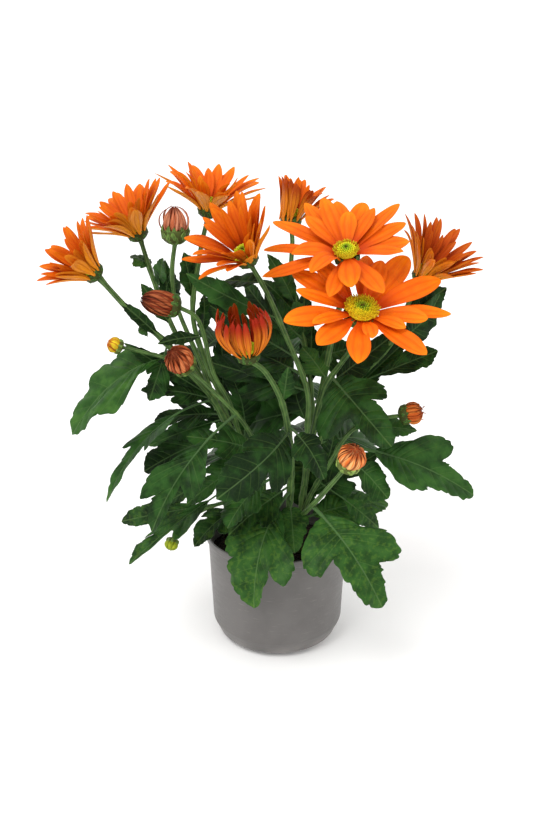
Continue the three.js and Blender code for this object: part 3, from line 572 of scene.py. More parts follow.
def makeSoilPeat():
    finish, tree, shader = newFinish("soilPeat", 0.95, Specular_IOR_Level=0.2)
    place = addNode(tree, "ShaderNodeTexCoord").outputs["Object"]
    coarse = useGroup(tree, patches, place=place, size=0.006)
    fine = useGroup(tree, patches, place=place, size=0.0011)
    mixed = calc(tree, "MULTIPLY", coarse, fine)
    tree.links.new(blend(tree, mixed, colour(soil["peat"]), colour(soil["dry"])), shader.inputs["Base Color"])
    bumpOn(tree, shader, fine, 0.5)
    return finish


def crumbShape():
    levels = np.array(soil["crumbLevels"])
    around = np.linspace(0, 2 * math.pi, soil["crumbSides"], endpoint=False)
    out = np.array(soil["crumbOut"])[:, None] * (1 + 0.25 * np.cos(around * 2 + levels[:, None] * 2))
    crumb = newSkin()
    addTube(crumb, field(out * np.cos(around), out * np.sin(around) * 0.8, levels[:, None] * 0.7), {})
    return bpy.data.objects.new("crumb", meshFrom("crumb", crumb, sharp=180))


def makeSoil():
    slope = (pot["wallTop"] - pot["wallFoot"]) / (pot["height"] - pot["lip"] - pot["foot"])
    foot = pot["wallFoot"] - soil["clearance"]
    top = foot + slope * (soil["level"] - pot["foot"])
    shares = np.concatenate([np.linspace(1, 0.06, soil["rings"]), [0.02]])
    turn = np.linspace(0, 2 * math.pi, soil["sides"], endpoint=False)
    radius = np.concatenate([[pot["floor"] - 2, foot], top * shares])
    height = np.concatenate([[pot["base"] + 0.4, pot["foot"]], soil["level"] + shares * 0])
    x = radius[:, None] * np.cos(turn)
    y = radius[:, None] * np.sin(turn)
    z = np.repeat(height[:, None], len(turn), 1)
    lumps = sum(np.sin(x * a + y * b + a) * size for a, b, size in soil["lumps"])
    hollow = sum(np.exp(-((x - cx) ** 2 + (y - cy) ** 2) / 30) for cx, cy in soil["holes"])
    z[2:] += (lumps - hollow * soil["dip"])[2:] - ease(radius[2:, None] / top, 0.9, 1.0) * soil["dip"]
    rings = field(x, y, z)
    skin = newSkin()
    addTube(skin, rings, {})
    peat = makeSoilPeat()
    finishPiece("soilBody", meshFrom("soilBody", skin, peat, sharp=180), "soil", "soil")
    surface = newSkin()
    addPart(surface, rings[3:], loopFaces(len(radius) - 3, len(turn)), {})
    piece = crumbShape()
    strewn = growWith(scatter, "crumbs", meshFrom("soilTop", surface),
                      {"piece": piece, "count": soil["crumbs"], "size": soil["crumbSize"], "spread": 2.6,
                       "seed": soil["seed"], "finish": peat, "lean": 1.2})
    finishPiece("soilCrumbs", strewn, "soil")
    bpy.data.objects.remove(piece)


makePot()
makeSoil()
print("pot and soil")

# ---- the plants

# each stem runs through its points and ends in the flower of its name; radius at the foot and top
stems = {
    "F": {
        "plant": "left",
        "radius": (2.3, 1.4),
        "points": [(-8, -4, 52), (-9, -5, 72), (-16, -10, 112), (-37, -17, 166), (-63, -19, 202),
                   (-83, -21, 222)],
    },
    "E": {
        "plant": "left",
        "radius": (1.7, 1.3),
        "points": [(-24, -13, 136), (-33, -14, 159), (-59, 0, 200), (-73, 11, 231)],
    },
    "J": {
        "plant": "left",
        "radius": (1.5, 1.2),
        "points": [(-36, -16, 161), (-44, -13, 186), (-58, -14, 224), (-60, -16, 245)],
    },
    "K": {
        "plant": "left",
        "radius": (1.5, 1.1),
        "points": [(-17, -11, 116), (-27, -26, 166), (-37, -31, 190), (-44, -33, 221)],
    },
    "L": {
        "plant": "left",
        "radius": (1.6, 1.1),
        "points": [(-9, -6, 84), (-9, -24, 128), (-19, -35, 159), (-38, -44, 185)],
    },
    "D": {
        "plant": "left",
        "radius": (1.9, 1.3),
        "points": [(-9, -4, 70), (-17, 6, 122), (-34, 5, 160), (-50, 5, 208), (-46, 7, 247)],
    },
    "O": {
        "plant": "left",
        "radius": (1.3, 1.0),
        "points": [(-36, -16, 164), (-46, -23, 180), (-60, -29, 196), (-80, -33, 204)],
    },
    "P": {
        "plant": "left",
        "radius": (1.3, 1.0),
        "points": [(-12, -8, 88), (-24, -12, 98), (-42, -18, 97), (-58, -20, 87)],
    },
    "I": {
        "plant": "middle",
        "radius": (2.2, 1.4),
        "points": [(5, -12, 52), (6, -14, 78), (8, -22, 112), (8, -32, 142), (3, -46, 176), (-6, -55, 198)],
    },
    "M": {
        "plant": "middle",
        "radius": (1.6, 1.2),
        "points": [(6, -15, 82), (15, -30, 98), (22, -50, 116), (31, -66, 136)],
    },
    "B": {
        "plant": "right",
        "radius": (2.4, 1.4),
        "points": [(14, -3, 52), (14, -5, 74), (18, -9, 118), (25, -14, 164), (32, -11, 204), (37, -19, 232)],
    },
    "A": {
        "plant": "right",
        "radius": (1.7, 1.4),
        "points": [(24, -13, 156), (29, -19, 178), (37, -26, 194), (42, -38, 208)],
    },
    "C": {
        "plant": "right",
        "radius": (1.7, 1.3),
        "points": [(17, -9, 108), (18, -18, 150), (17, -24, 178), (3, -29, 216), (-6, -32, 238)],
    },
    "G": {
        "plant": "right",
        "radius": (1.7, 1.3),
        "points": [(18, -9, 120), (21, -4, 149), (19, 5, 180), (9, 17, 230), (9, 23, 254)],
    },
    "H": {
        "plant": "right",
        "radius": (1.7, 1.3),
        "points": [(18, -9, 116), (29, -9, 145), (46, -7, 174), (66, -4, 196), (76, -4, 221)],
    },
    "N": {
        "plant": "right",
        "radius": (1.6, 1.1),
        "points": [(14, -5, 80), (21, -13, 104), (32, -23, 130), (44, -31, 154), (62, -37, 164)],
    },
}

# open blooms: the foot of the calyx, the way the bloom faces, and its petals
blooms = {
    "A": {
        "seat": [44.6, -51.5, 227], "axis": [0.12, -0.42, 0.9], "core": 10.2, "disc": 8.3,
        "petals": [
            # [azimuth, length, width, lift at the root, lift at the tip, layer]
            [7, 41, 12, 4, -6, 0], [30, 43, 14, 14, 4, 0], [56, 42, 14, 16, 6, 0], [84, 34, 12, 12, 2, 0],
            [121, 34, 11, 12, 0, 0], [147, 36, 13, 12, 0, 0], [196, 34, 14, 6, -4, 0], [230, 28, 14, 8, -6, 0],
            [264, 31, 13, 6, -6, 0], [317, 35, 14, 6, -6, 0],
            [351, 27, 13, 14, 4, 1], [70, 30, 11, 22, 6, 1], [134, 29, 10, 22, 4, 1], [170, 28, 10, 16, 2, 1],
            [211, 23, 10, 14, 0, 1], [284, 12, 9, 26, -36, 1], [328, 18, 10, 18, 0, 1],
        ],
    },
    "B": {
        "seat": [38.8, -34.5, 255.3], "axis": [-0.12, -0.42, 0.9], "core": 8, "disc": 6,
        "petals": [
            [5, 27, 12, 10, -2, 0], [27, 30, 11, 12, 0, 0], [46, 37, 12, 16, 4, 0], [71, 30, 12, 20, 8, 0],
            [95, 31, 13, 18, 8, 0], [120, 37, 12, 16, 6, 0], [143, 43, 11, 10, 0, 0], [166, 40, 9, 4, -8, 0],
            [191, 40, 10, 0, -14, 0], [254, 28, 11, 4, -10, 0], [296, 31, 12, 4, -10, 0],
            [58, 26, 10, 24, 8, 1], [83, 20, 10, 34, 16, 1], [108, 33, 12, 26, 12, 1], [132, 26, 11, 26, 8, 1],
            [178, 24, 10, 30, -16, 1], [224, 23, 12, 60, -46, 1], [273, 23, 13, 14, -10, 1],
            [345, 25, 11, 14, 0, 1],
        ],
    },
    "C": {
        "seat": [-15, -35, 255], "axis": [-0.35, -0.45, 0.82], "core": 7.2, "disc": 6,
        "layers": [
            {"count": 10, "first": 12, "length": 31, "width": 8.5, "lift": [50, 34], "lean": [195, -13]},
            {"count": 6, "first": 28, "length": 27, "width": 7.5, "lift": [64, 50], "lean": [195, -10]},
        ],
    },
    "D": {
        "seat": [-40.3, 10, 271], "axis": [0.1, -0.08, 0.99], "core": 7.2, "disc": 5.4,
        "layers": [
            {"count": 10, "first": 4, "length": 29, "width": 8.5, "lift": [42, 18], "lean": [10, -3]},
            {"count": 6, "first": 20, "length": 24, "width": 7.5, "lift": [60, 40], "lean": [10, -4]},
        ],
    },
    "E": {
        "seat": [-81, 19, 256], "axis": [-0.4, -0.2, 0.9], "core": 7.2, "disc": 5.4,
        "layers": [
            {"count": 10, "first": 8, "length": 29, "width": 8.5, "lift": [44, 24], "lean": [90, -6]},
            {"count": 6, "first": 24, "length": 25, "width": 7.5, "lift": [60, 44], "lean": [90, -4]},
        ],
    },
    "F": {
        "seat": [-101, -21, 244], "axis": [-0.66, -0.34, 0.67], "core": 7.2, "disc": 5.4,
        "layers": [
            {"count": 11, "first": 4, "length": 25, "width": 8, "lift": [56, 46], "lean": [270, 4]},
            {"count": 6, "first": 20, "length": 21.5, "width": 7, "lift": [68, 60], "lean": [270, 4]},
        ],
    },
    "G": {
        "seat": [7.5, 25, 262], "axis": [0.16, 0.02, 0.99], "core": 7.2, "disc": 4.8,
        "layers": [
            {"count": 10, "first": 10, "length": 23, "width": 6.5, "lift": [66, 60], "lean": [0, -20]},
            {"count": 6, "first": 24, "length": 20, "width": 6, "lift": [76, 72], "lean": [0, -18]},
        ],
    },
    "H": {
        "seat": [82, -5, 236.5], "axis": [0.46, -0.3, 0.83], "core": 7.2, "disc": 5.2,
        "layers": [
            {"count": 12, "first": 6, "length": 30, "width": 7, "lift": [54, 42], "lean": [90, 0]},
            {"count": 7, "first": 20, "length": 25, "width": 6.5, "lift": [68, 58], "lean": [90, 0]},
        ],
    },
    "I": {
        "seat": [-15, -60, 206], "axis": [-0.16, -0.14, 0.97], "core": 7.2, "disc": 5.2,
        "layers": [
            {"count": 9, "first": 34, "length": 27, "width": 8.5, "lift": [36, 102], "lean": [90, 0]},
            {"count": 6, "first": 2, "length": 23, "width": 7.5, "lift": [50, 102], "lean": [90, 0]},
        ],
    },
}

# buds: the foot of the calyx, the way the bud points, its radius, whole height and calyx's share
buds = {
    "J": {"seat": [-57.5, -17, 262], "axis": [0, 0.02, 1], "radius": 8.2, "height": 21, "calyx": 0.4},
    "K": {"seat": [-54, -35, 230.5], "axis": [-0.97, -0.1, 0.22], "radius": 7, "height": 22.5, "calyx": 0.22},
    "L": {"seat": [-50.7, -45.5, 198], "axis": [-0.45, -0.5, 0.74], "radius": 7.6, "height": 16.5,
          "calyx": 0.24},
    "M": {"seat": [38, -72, 148], "axis": [0.3, -0.4, 0.86], "radius": 7.4, "height": 17, "calyx": 0.36},
    "N": {"seat": [70, -39, 166], "axis": [0.96, -0.05, 0.26], "radius": 6.2, "height": 14, "calyx": 0.36},
    "O": {"seat": [-88, -35, 206], "axis": [-0.85, -0.2, 0.48], "radius": 4.6, "height": 9, "calyx": 0.34},
    "P": {"seat": [-64, -24, 79], "axis": [-0.3, -0.6, -0.75], "radius": 4.2, "height": 8, "calyx": 0.34},
}

# leaves: stem, height at which it leaves it, tip, width, and what differs from leafRule
leaves = [
    # lower left
    ("F", 197, [-118, -45, 157], 50,
     {"faces": [-0.1, -0.2, 1], "arch": 0.3, "stalk": 0.12, "left": "ahead", "right": "full"}),
    ("F", 203, [-74, -35, 174], 20,
     {"faces": [0.2, -0.8, 0.5], "arch": 0.04, "left": "long", "right": "slim"}),
    ("F", 168, [-79, -31, 179], 20, {}),
    ("F", 168, [-100, -49, 116], 24,
     {"faces": [-0.4, -0.2, 0.9], "arch": 0.3, "stalk": 0.3, "left": "back", "right": "slim"}),
    ("F", 158, [-74, -14, 153], 22, {}),
    ("F", 146, [-80, -26, 125], 26,
     {"faces": [-0.1, -0.7, 0.7], "arch": 0.2, "stalk": 0.34, "left": "slim", "right": "long"}),
    ("L", 167, [-73, -60, 102], 28,
     {"faces": [-0.1, -0.6, 0.8], "arch": 0.32, "stalk": 0.28, "left": "wide", "right": "ahead"}),
    ("F", 98, [-99, -2, 79], 20,
     {"faces": [0.2, -0.8, 0.5], "arch": 0.36, "stalk": 0.4, "right": "long"}),
    ("F", 114, [-88, -55, 78], 20,
     {"faces": [0.1, 0, 1], "arch": 0.1, "stalk": 0.36, "left": "wide", "right": "long"}),
    ("L", 140, [-53, -36, 152], 28, {"arch": 0.1}),
    ("L", 134, [-54, -38, 109], 24, {"arch": 0.2}),
    ("F", 94, [-51, -30, 76], 26,
     {"faces": [-0.2, -0.3, 0.9], "arch": 0.34, "stalk": 0.3, "right": "broad"}),
    # front
    ("I", 156, [-34, -78, 132], 36,
     {"faces": [0.4, -0.8, 0.4], "arch": 0.34, "stalk": 0.06, "right": "broad"}),
    ("I", 161, [27, -52, 132], 28,
     {"faces": [0, -0.2, 1], "arch": 0.22, "stalk": 0.22, "left": "full", "right": "full"}),
    ("I", 122, [-29, -61, 105], 30,
     {"faces": [0, 0.1, 1], "arch": 0.34, "stalk": 0.4, "left": "ahead", "right": "long"}),
    ("I", 114, [-29, -45, 92], 26, {}),
    ("I", 110, [-14, -62, 52], 54,
     {"faces": [-0.3, -0.3, 0.9], "arch": 0.34, "stalk": 0.2, "left": "short", "right": "broad"}),
    ("I", 104, [10, -56, 86], 24,
     {"faces": [0, 0.4, 0.9], "arch": 0.06, "stalk": 0.2, "left": "full", "right": "full"}),
    ("I", 176, [6, -50, 200], 10, {"faces": [0, -1, 0.3]}),
    ("M", 112, [61, -76, 61], 52,
     {"faces": [0.2, -0.8, 0.6], "arch": 0.34, "stalk": 0.14, "left": "short", "right": "back"}),
    ("G", 129, [14, 6, 86], 34,
     {"faces": [-0.2, -0.9, 0.3], "arch": 0.06, "stalk": 0.06, "left": "full", "right": "full"}),
    # right
    ("N", 142, [117, -36, 114], 52,
     {"faces": [-0.2, -0.4, 0.9], "arch": 0.22, "stalk": 0.26, "left": "short", "right": "slim"}),
    ("A", 184, [64, -62, 157], 46,
     {"faces": [0, -0.9, 0.4], "arch": 0.04, "stalk": 0.06, "left": "slim", "right": "wide"}),
    ("H", 173, [94, -16, 198], 20,
     {"faces": [-0.6, -0.7, 0.5], "arch": 0.04, "stalk": 0.34, "left": "long", "right": "long"}),
    ("H", 199, [96, 2, 227], 26,
     {"faces": [0.7, -0.6, 0.3], "arch": 0.34, "stalk": 0.2, "left": "slim", "right": "full"}),
    ("N", 140, [65, -47, 117], 24,
     {"faces": [0.1, -0.7, 0.7], "arch": 0.2, "stalk": 0.4, "left": "full", "right": "long"}),
    ("N", 114, [63, -19, 83], 14, {"faces": [0.1, -0.9, 0.5], "arch": 0.36, "stalk": 0.4}),
    ("N", 156, [82, -32, 154], 16, {}),
    # upper
    ("E", 227, [-66, -6, 251], 12,
     {"faces": [-0.1, -0.8, 0.6], "arch": 0.02, "stalk": 0.2, "left": "slim", "right": "slim"}),
    ("E", 240, [-88, 19, 246], 15,
     {"faces": [0.1, -0.1, 1], "arch": 0.34, "stalk": 0.06, "left": "back", "right": "back"}),
    ("F", 214, [-80, -22, 211], 10, {}),
    ("F", 206, [-90, -22, 230], 8, {"faces": [0.3, -0.9, 0.3]}),
    ("K", 212, [-67, -42, 211], 10, {}),
    ("C", 222, [-50, -40, 251], 16, {"faces": [-0.6, -0.8, 0.3], "stalk": 0.2, "right": "ahead"}),
    ("C", 244, [-30, -14, 240], 12,
     {"faces": [0, -0.6, 0.8], "arch": 0.04, "stalk": 0.1, "right": "back"}),
    ("D", 223, [-55, 8, 251], 16,
     {"faces": [0.4, -0.6, 0.7], "arch": 0.04, "stalk": 0.06, "left": "slim", "right": "long"}),
    ("D", 197, [-44, 8, 225], 15,
     {"faces": [0.7, -0.6, 0.4], "arch": 0.2, "stalk": 0.24, "left": "slim", "right": "broad"}),
    ("J", 227, [-61, -11, 245], 12,
     {"faces": [0.8, -0.5, 0.3], "arch": 0.04, "left": "slim", "right": "back"}),
    ("C", 186, [-25, 6, 192], 34, {"arch": 0.16}),
    ("G", 209, [-9, 20, 231], 16,
     {"faces": [0, -0.8, 0.6], "arch": 0.24, "stalk": 0.06, "right": "back"}),
    ("G", 168, [-20, 16, 176], 28, {"faces": [-0.2, -0.8, 0.6]}),
    ("G", 184, [46, 14, 190], 26, {"faces": [0.2, -0.8, 0.5]}),
    ("A", 176, [71, 0, 204], 22,
     {"faces": [0, -0.8, 0.6], "arch": 0.04, "stalk": 0.18, "left": "slim", "right": "full"}),
    ("C", 153, [10, 0, 179], 16, {"faces": [-0.5, -0.8, 0.3], "arch": 0.3, "stalk": 0.1}),
    ("G", 196, [-8, 2, 224], 28, {"faces": [-0.3, -0.8, 0.5]}),
    ("A", 180, [15, -4, 196], 22, {}),
    ("G", 214, [-6, 16, 248], 14, {}),
    # the far side
    ("D", 118, [-52, 62, 92], 34, {"arch": 0.2}),
    ("B", 98, [52, 50, 76], 34, {"arch": 0.22}),
    ("D", 176, [-78, 34, 176], 30, {"arch": 0.16}),
    ("D", 190, [-28, 46, 190], 28, {"arch": 0.16}),
    ("D", 96, [-20, 66, 74], 34, {"arch": 0.22}),
    ("G", 136, [8, 66, 112], 34, {"arch": 0.2}),
    ("G", 158, [42, 54, 144], 34, {"arch": 0.18}),
    ("G", 186, [-8, 56, 176], 30, {"arch": 0.16}),
    ("B", 82, [72, 18, 82], 32, {"arch": 0.2}),
    ("H", 136, [72, 42, 110], 34, {"arch": 0.2}),
    # between the stems
    ("D", 132, [-39, 14, 191], 34,
     {"faces": [0.4, -0.6, 0.7], "arch": 0.34, "stalk": 0.12, "left": "slim", "right": "full"}),
    ("G", 156, [-33, 30, 126], 35,
     {"faces": [-0.3, -0.8, 0.6], "arch": 0.2, "stalk": 0.08, "left": "broad", "right": "full"}),
    ("N", 111, [35, 0, 138], 22,
     {"faces": [0.3, -0.9, 0.3], "arch": 0.28, "left": "broad", "right": "broad"}),
    ("F", 155, [-79, -6, 133], 14, {"faces": [-0.2, -0.8, 0.6], "left": "back"}),
    ("F", 122, [-69, -10, 96], 18,
     {"faces": [-0.2, -0.8, 0.5], "arch": 0.34, "stalk": 0.4, "right": "long"}),
]

# small shaded leaves between the stems, which the solids leave out; their darker tone is painted shade
spareLeaves = [
    ("H", 163, [80, -2, 203], 17,
     {"faces": [-0.3, -0.9, 0.4], "arch": 0.04, "stalk": 0.04, "left": "full", "right": "full"}),
    ("C", 214, [-19, 8, 232], 18, {"faces": [-0.3, -0.9, 0.3], "arch": 0.1, "stalk": 0.06}),
    ("F", 170, [-88, -28, 207], 10, {"faces": [0, -0.9, 0.3], "arch": 0.05}),
    ("N", 104, [60, -20, 134], 24, {"faces": [0, -0.8, 0.5], "arch": 0.1, "stalk": 0.06}),
    ("G", 170, [21, 12, 206], 16, {"faces": [-0.2, -0.9, 0.3], "arch": 0.04, "stalk": 0.06}),
    ("G", 196, [16, 10, 226], 14, {"faces": [0.2, -0.9, 0.3], "arch": 0.04, "stalk": 0.06}),
    ("D", 158, [-34, 14, 198], 18, {"faces": [0.1, -0.9, 0.3], "arch": 0.06, "stalk": 0.06}),
    ("D", 140, [-51, 10, 170], 20, {"faces": [0, -0.9, 0.4], "arch": 0.06, "stalk": 0.06}),
    ("E", 206, [-81, 8, 232], 11, {"faces": [0, -0.8, 0.5], "arch": 0.08}),
    ("E", 214, [-66, 6, 247], 10, {"faces": [0.3, -0.8, 0.3], "arch": 0.08}),
    ("H", 212, [101, 10, 229], 15, {"faces": [0.2, -0.8, 0.5], "arch": 0.1}),
    ("C", 198, [-42, 10, 219], 26, {"faces": [-0.2, -0.9, 0.3], "arch": 0.06, "stalk": 0.04}),
    ("C", 176, [-43, 6, 184], 28, {"faces": [-0.2, -0.9, 0.4], "arch": 0.06, "stalk": 0.04}),
]

plants = ("left", "middle", "right")

stemRule = {
    "sides": 18,
    "ridges": 6,
    "ridge": 0.07,
    "step": 2.6,              # between rings
    "swell": 0.22,            # where a leaf joins
    "flare": 0.55,            # under the flower
    "green": "4e7036",
    "dark": "2a4620",
    "pale": "8ea660",
    "wood": "4c4a2c",
}


def stemLine(name):
    seat, axis = flowerFrame(blooms.get(name) or buds.get(name))[:2]
    return np.vstack([np.array(stems[name]["points"], float), seat + axis * 2])


def pointAtHeight(name, height):
    line = stemLine(name)
    low, high = 0.0, 1.0
    for halving in range(30):
        middle = (low + high) / 2
        if curveThrough(line, middle)[2] < height:
            low = middle
        else:
            high = middle
    return curveThrough(line, low)


def addStem(skin, name, number):
    line = stemLine(name)
    fine = curveThrough(line, np.linspace(0, 1, 400))
    gone = np.concatenate([[0], np.cumsum(np.linalg.norm(np.diff(fine, axis=0), axis=1))])
    length = gone[-1]
    count = int(length / stemRule["step"])
    t = np.interp(np.linspace(0, length, count), gone, np.linspace(0, 1, 400))
    centre = curveThrough(line, t)
    along = unit(np.gradient(centre, axis=0))
    side = unit(np.cross([0.0, 1.0, 0.0], along))
    rise = np.cross(along, side)
    foot, top = stems[name]["radius"]
    radius = foot + (top - foot) * t
    for leaf in leaves:
        if leaf[0] == name:
            near = np.linalg.norm(centre - pointAtHeight(name, leaf[1]), axis=1)
            radius = radius * (1 + stemRule["swell"] * np.exp(-(near / 2.6) ** 2))
    radius = radius * (1 + stemRule["flare"] * ease(t, 0.95, 1.0))
    turn = np.linspace(0, 2 * math.pi, stemRule["sides"], endpoint=False)
    spin = np.linspace(0, length * 0.012, count)[:, None]
    ridge = np.cos((turn - spin) * stemRule["ridges"])
    out = radius[:, None] * (1 + stemRule["ridge"] * ridge)
    rings = (centre[:, None] + side[:, None] * (out * np.cos(turn))[..., None]
             + rise[:, None] * (out * np.sin(turn))[..., None])
    gone = np.linspace(0, length, count)[:, None]
    place = field(turn * 2, gone, number * 9)
    state = field(ridge * 0.5 + 0.5, gone / length, 0)
    addTube(skin, rings, {"place": place, "state": state})


def makeStemGreen():
    finish, tree, shader = newFinish("stemGreen", 0.55, Specular_IOR_Level=0.18)
    place = readField(tree, "place")
    ridge = readParts(tree, "state")[0]
    high = addNode(tree, "ShaderNodeSeparateXYZ",
                   {"Vector": addNode(tree, "ShaderNodeTexCoord").outputs["Object"]}).outputs["Z"]
    streak = useGroup(tree, fibre, place=place, pitch=0.35, stretch=14.0)
    patch = useGroup(tree, patches, place=place, size=6.0)
    base = blend(tree, patch, colour(stemRule["dark"]), colour(stemRule["green"]))
    ridged = blend(tree, calc(tree, "MULTIPLY", calc(tree, "POWER", ridge, 2.0), 0.42), base,
                   colour(stemRule["pale"]))
    streaked = blend(tree, calc(tree, "MULTIPLY", streak, 0.3), ridged, colour(stemRule["dark"]))
    woody = fade(tree, high, 0.055, 0.11, 0.7, 0.0)
    tree.links.new(blend(tree, woody, streaked, colour(stemRule["wood"])), shader.inputs["Base Color"])
    bumpOn(tree, shader, streak, 0.08, 0.6)
    return finish


stemGreen = makeStemGreen()


def makeStems(plant):
    skin = newSkin()
    for number, name in enumerate(stems):
        if stems[name]["plant"] == plant:
            addStem(skin, name, number)
    return meshFrom("stems_" + plant, skin, stemGreen, sharp=80)


for plant in plants:
    finishPiece("stems_" + plant, makeStems(plant), "leafy_stem")
print("stems")

leafRule = {
    "faces": (0, -0.5, 0.87),
    "arch": 0.14,
    "stalk": 0.15,
    "stalkRadius": 0.95,
    "stalkRings": (7, 16),    # on the stalk and under the blade
    "stalkSides": 8,
    "ribRadii": (1.8, 1.1, 0.95, 0.5, 0.16),
    "swing": 1.12,            # how late the blade swings ahead on its way out from the midrib
    "halfWidth": 0.36,
    "plainBelow": 17,
    "fewBelow": 35,
    "fold": 0.16,
    "sag": 0.5,
    "unevenness": 0.1,
    "left": "even",
    "right": "even",
    "tooth": 0.03,
    "thickness": 0.42,
    "acrossStep": 3.5,        # of the width, for each point from the midrib to the edge
    "fewestAcross": 7,
    "mostAcross": 12,
    "smallBelow": 28,
    "substeps": 3,            # between two points of the outline
    "smallSubsteps": 2,
    "groove": 0.4,
    "pucker": 0.55,
    "wave": 0.022,            # of the blade's length, at the edge
    "dark": "0d2209",
    "green": "274c1b",
    "bright": "4a742e",
    "mottle": "6e9030",
    "vein": "6f8f4c",
    "under": "53704a",
    "underVein": "789464",
    # painted shade: the darker tone of the spare leaves between the stems
    "spareShadeTone": -0.7,
}

# leaves that are paler or darker than chance would have them, by number: painted light on leaves that face the
# light, painted shade on leaves in shade
leafLightTones = {0: 1.4, 6: 0.0, 16: 0.0, 19: 0.1, 21: 0.7, 22: 0.1, 25: 0.1, 38: -0.6}

# places of the side veins at which the solids' outlines are drawn uneven
roughPlaces = {
    "lobed": (0, 0.06, 0.135, 0.21, 0.3, 0.42, 0.56, 0.75, 1),
    "fewLobed": (0, 0.12, 0.26, 0.42, 0.64, 1),
    "plain": (0, 0.25, 0.6, 1),
}

# how one side of a leaf may differ from the outline: how far its lobe slides along the blade, then
# the widths of the lobe, of the waist past it and of the blade's end
leafSides = {
    "even": (0, 1, 1, 1),
    "ahead": (0.2, 1, 1, 1),
    "back": (-0.16, 1, 1.3, 0.85),
    "slim": (-0.05, 0.75, 1, 0.85),
    "wide": (-0.05, 1.25, 0.8, 0.65),
    "full": (-0.15, 0.8, 1.8, 1),
    "long": (0.16, 0.75, 1.05, 1.4),
    "short": (0.15, 1, 0.95, 0.6),
    "broad": (0, 0.8, 1.5, 1.4),
}
sidePlaces = (0, 0.13, 0.3, 0.43, 0.58, 0.76, 1)
sideSlides = (0, 0.8, 1, 0.8, 0.2, 0, 0)

# outlines as (place on the midrib, how far along, how far out, vein strength) in shares of the blade
lobedEdge = [
    (0.0, 0.0, 0.03, 0), (0.03, 0.035, 0.075, 0), (0.06, 0.085, 0.125, 0.35), (0.09, 0.145, 0.175, 0),
    (0.115, 0.195, 0.2, 0.35), (0.135, 0.24, 0.245, 0), (0.16, 0.29, 0.31, 0.5), (0.18, 0.335, 0.342, 0),
    (0.2, 0.385, 0.36, 0), (0.225, 0.45, 0.375, 1), (0.25, 0.51, 0.362, 0), (0.275, 0.565, 0.345, 0.5),
    (0.3, 0.6, 0.305, 0), (0.32, 0.6, 0.258, 0), (0.345, 0.57, 0.205, 0), (0.38, 0.535, 0.162, 0),
    (0.42, 0.532, 0.14, 0), (0.46, 0.575, 0.15, 0), (0.5, 0.628, 0.172, 0), (0.54, 0.682, 0.19, 0.7),
    (0.59, 0.735, 0.186, 0), (0.64, 0.79, 0.182, 0.45), (0.69, 0.84, 0.165, 0), (0.75, 0.888, 0.142, 0.4),
    (0.81, 0.93, 0.112, 0), (0.87, 0.966, 0.08, 0.3), (0.93, 0.99, 0.048, 0), (1.0, 1.003, 0.0, 0),
]
plainEdge = [
    (0.0, 0.0, 0.045, 0), (0.05, 0.07, 0.1, 0), (0.11, 0.15, 0.19, 0), (0.18, 0.25, 0.29, 0.6),
    (0.22, 0.295, 0.288, 0), (0.28, 0.365, 0.325, 0), (0.34, 0.45, 0.352, 0.8), (0.39, 0.49, 0.322, 0),
    (0.45, 0.56, 0.315, 0), (0.52, 0.64, 0.318, 0.7), (0.57, 0.675, 0.27, 0), (0.64, 0.745, 0.242, 0),
    (0.71, 0.82, 0.225, 0.5), (0.77, 0.85, 0.168, 0), (0.84, 0.905, 0.13, 0.3), (0.91, 0.95, 0.075, 0),
    (0.96, 0.98, 0.04, 0), (1.0, 1.002, 0.0, 0),
]


def edgeTeeth(seed, t):
    # blunt uneven teeth, as a saw with soft tips along the outline
    beat = t * 0.62 + 0.25 * np.sin(t * 0.9 + seed)
    size = 0.6 + 0.4 * np.sin(t * 1.7 + seed * 3)
    return size * (np.abs(np.sin(beat * math.pi)) ** 0.7 - 0.62)


def ribLine(rib, u):
    # points along a leaf's midrib, with its run, its face and its left side there
    start, crest, tip = rib["start"], rib["crest"], rib["tip"]
    centre = (start * ((1 - u) ** 2)[:, None] + crest * (2 * u * (1 - u))[:, None] + tip * (u * u)[:, None])
    along = unit((crest - start) * (1 - u)[:, None] + (tip - crest) * u[:, None])
    normal = squareTo(rib["above"], along)
    return centre, along, normal, np.cross(normal, along)


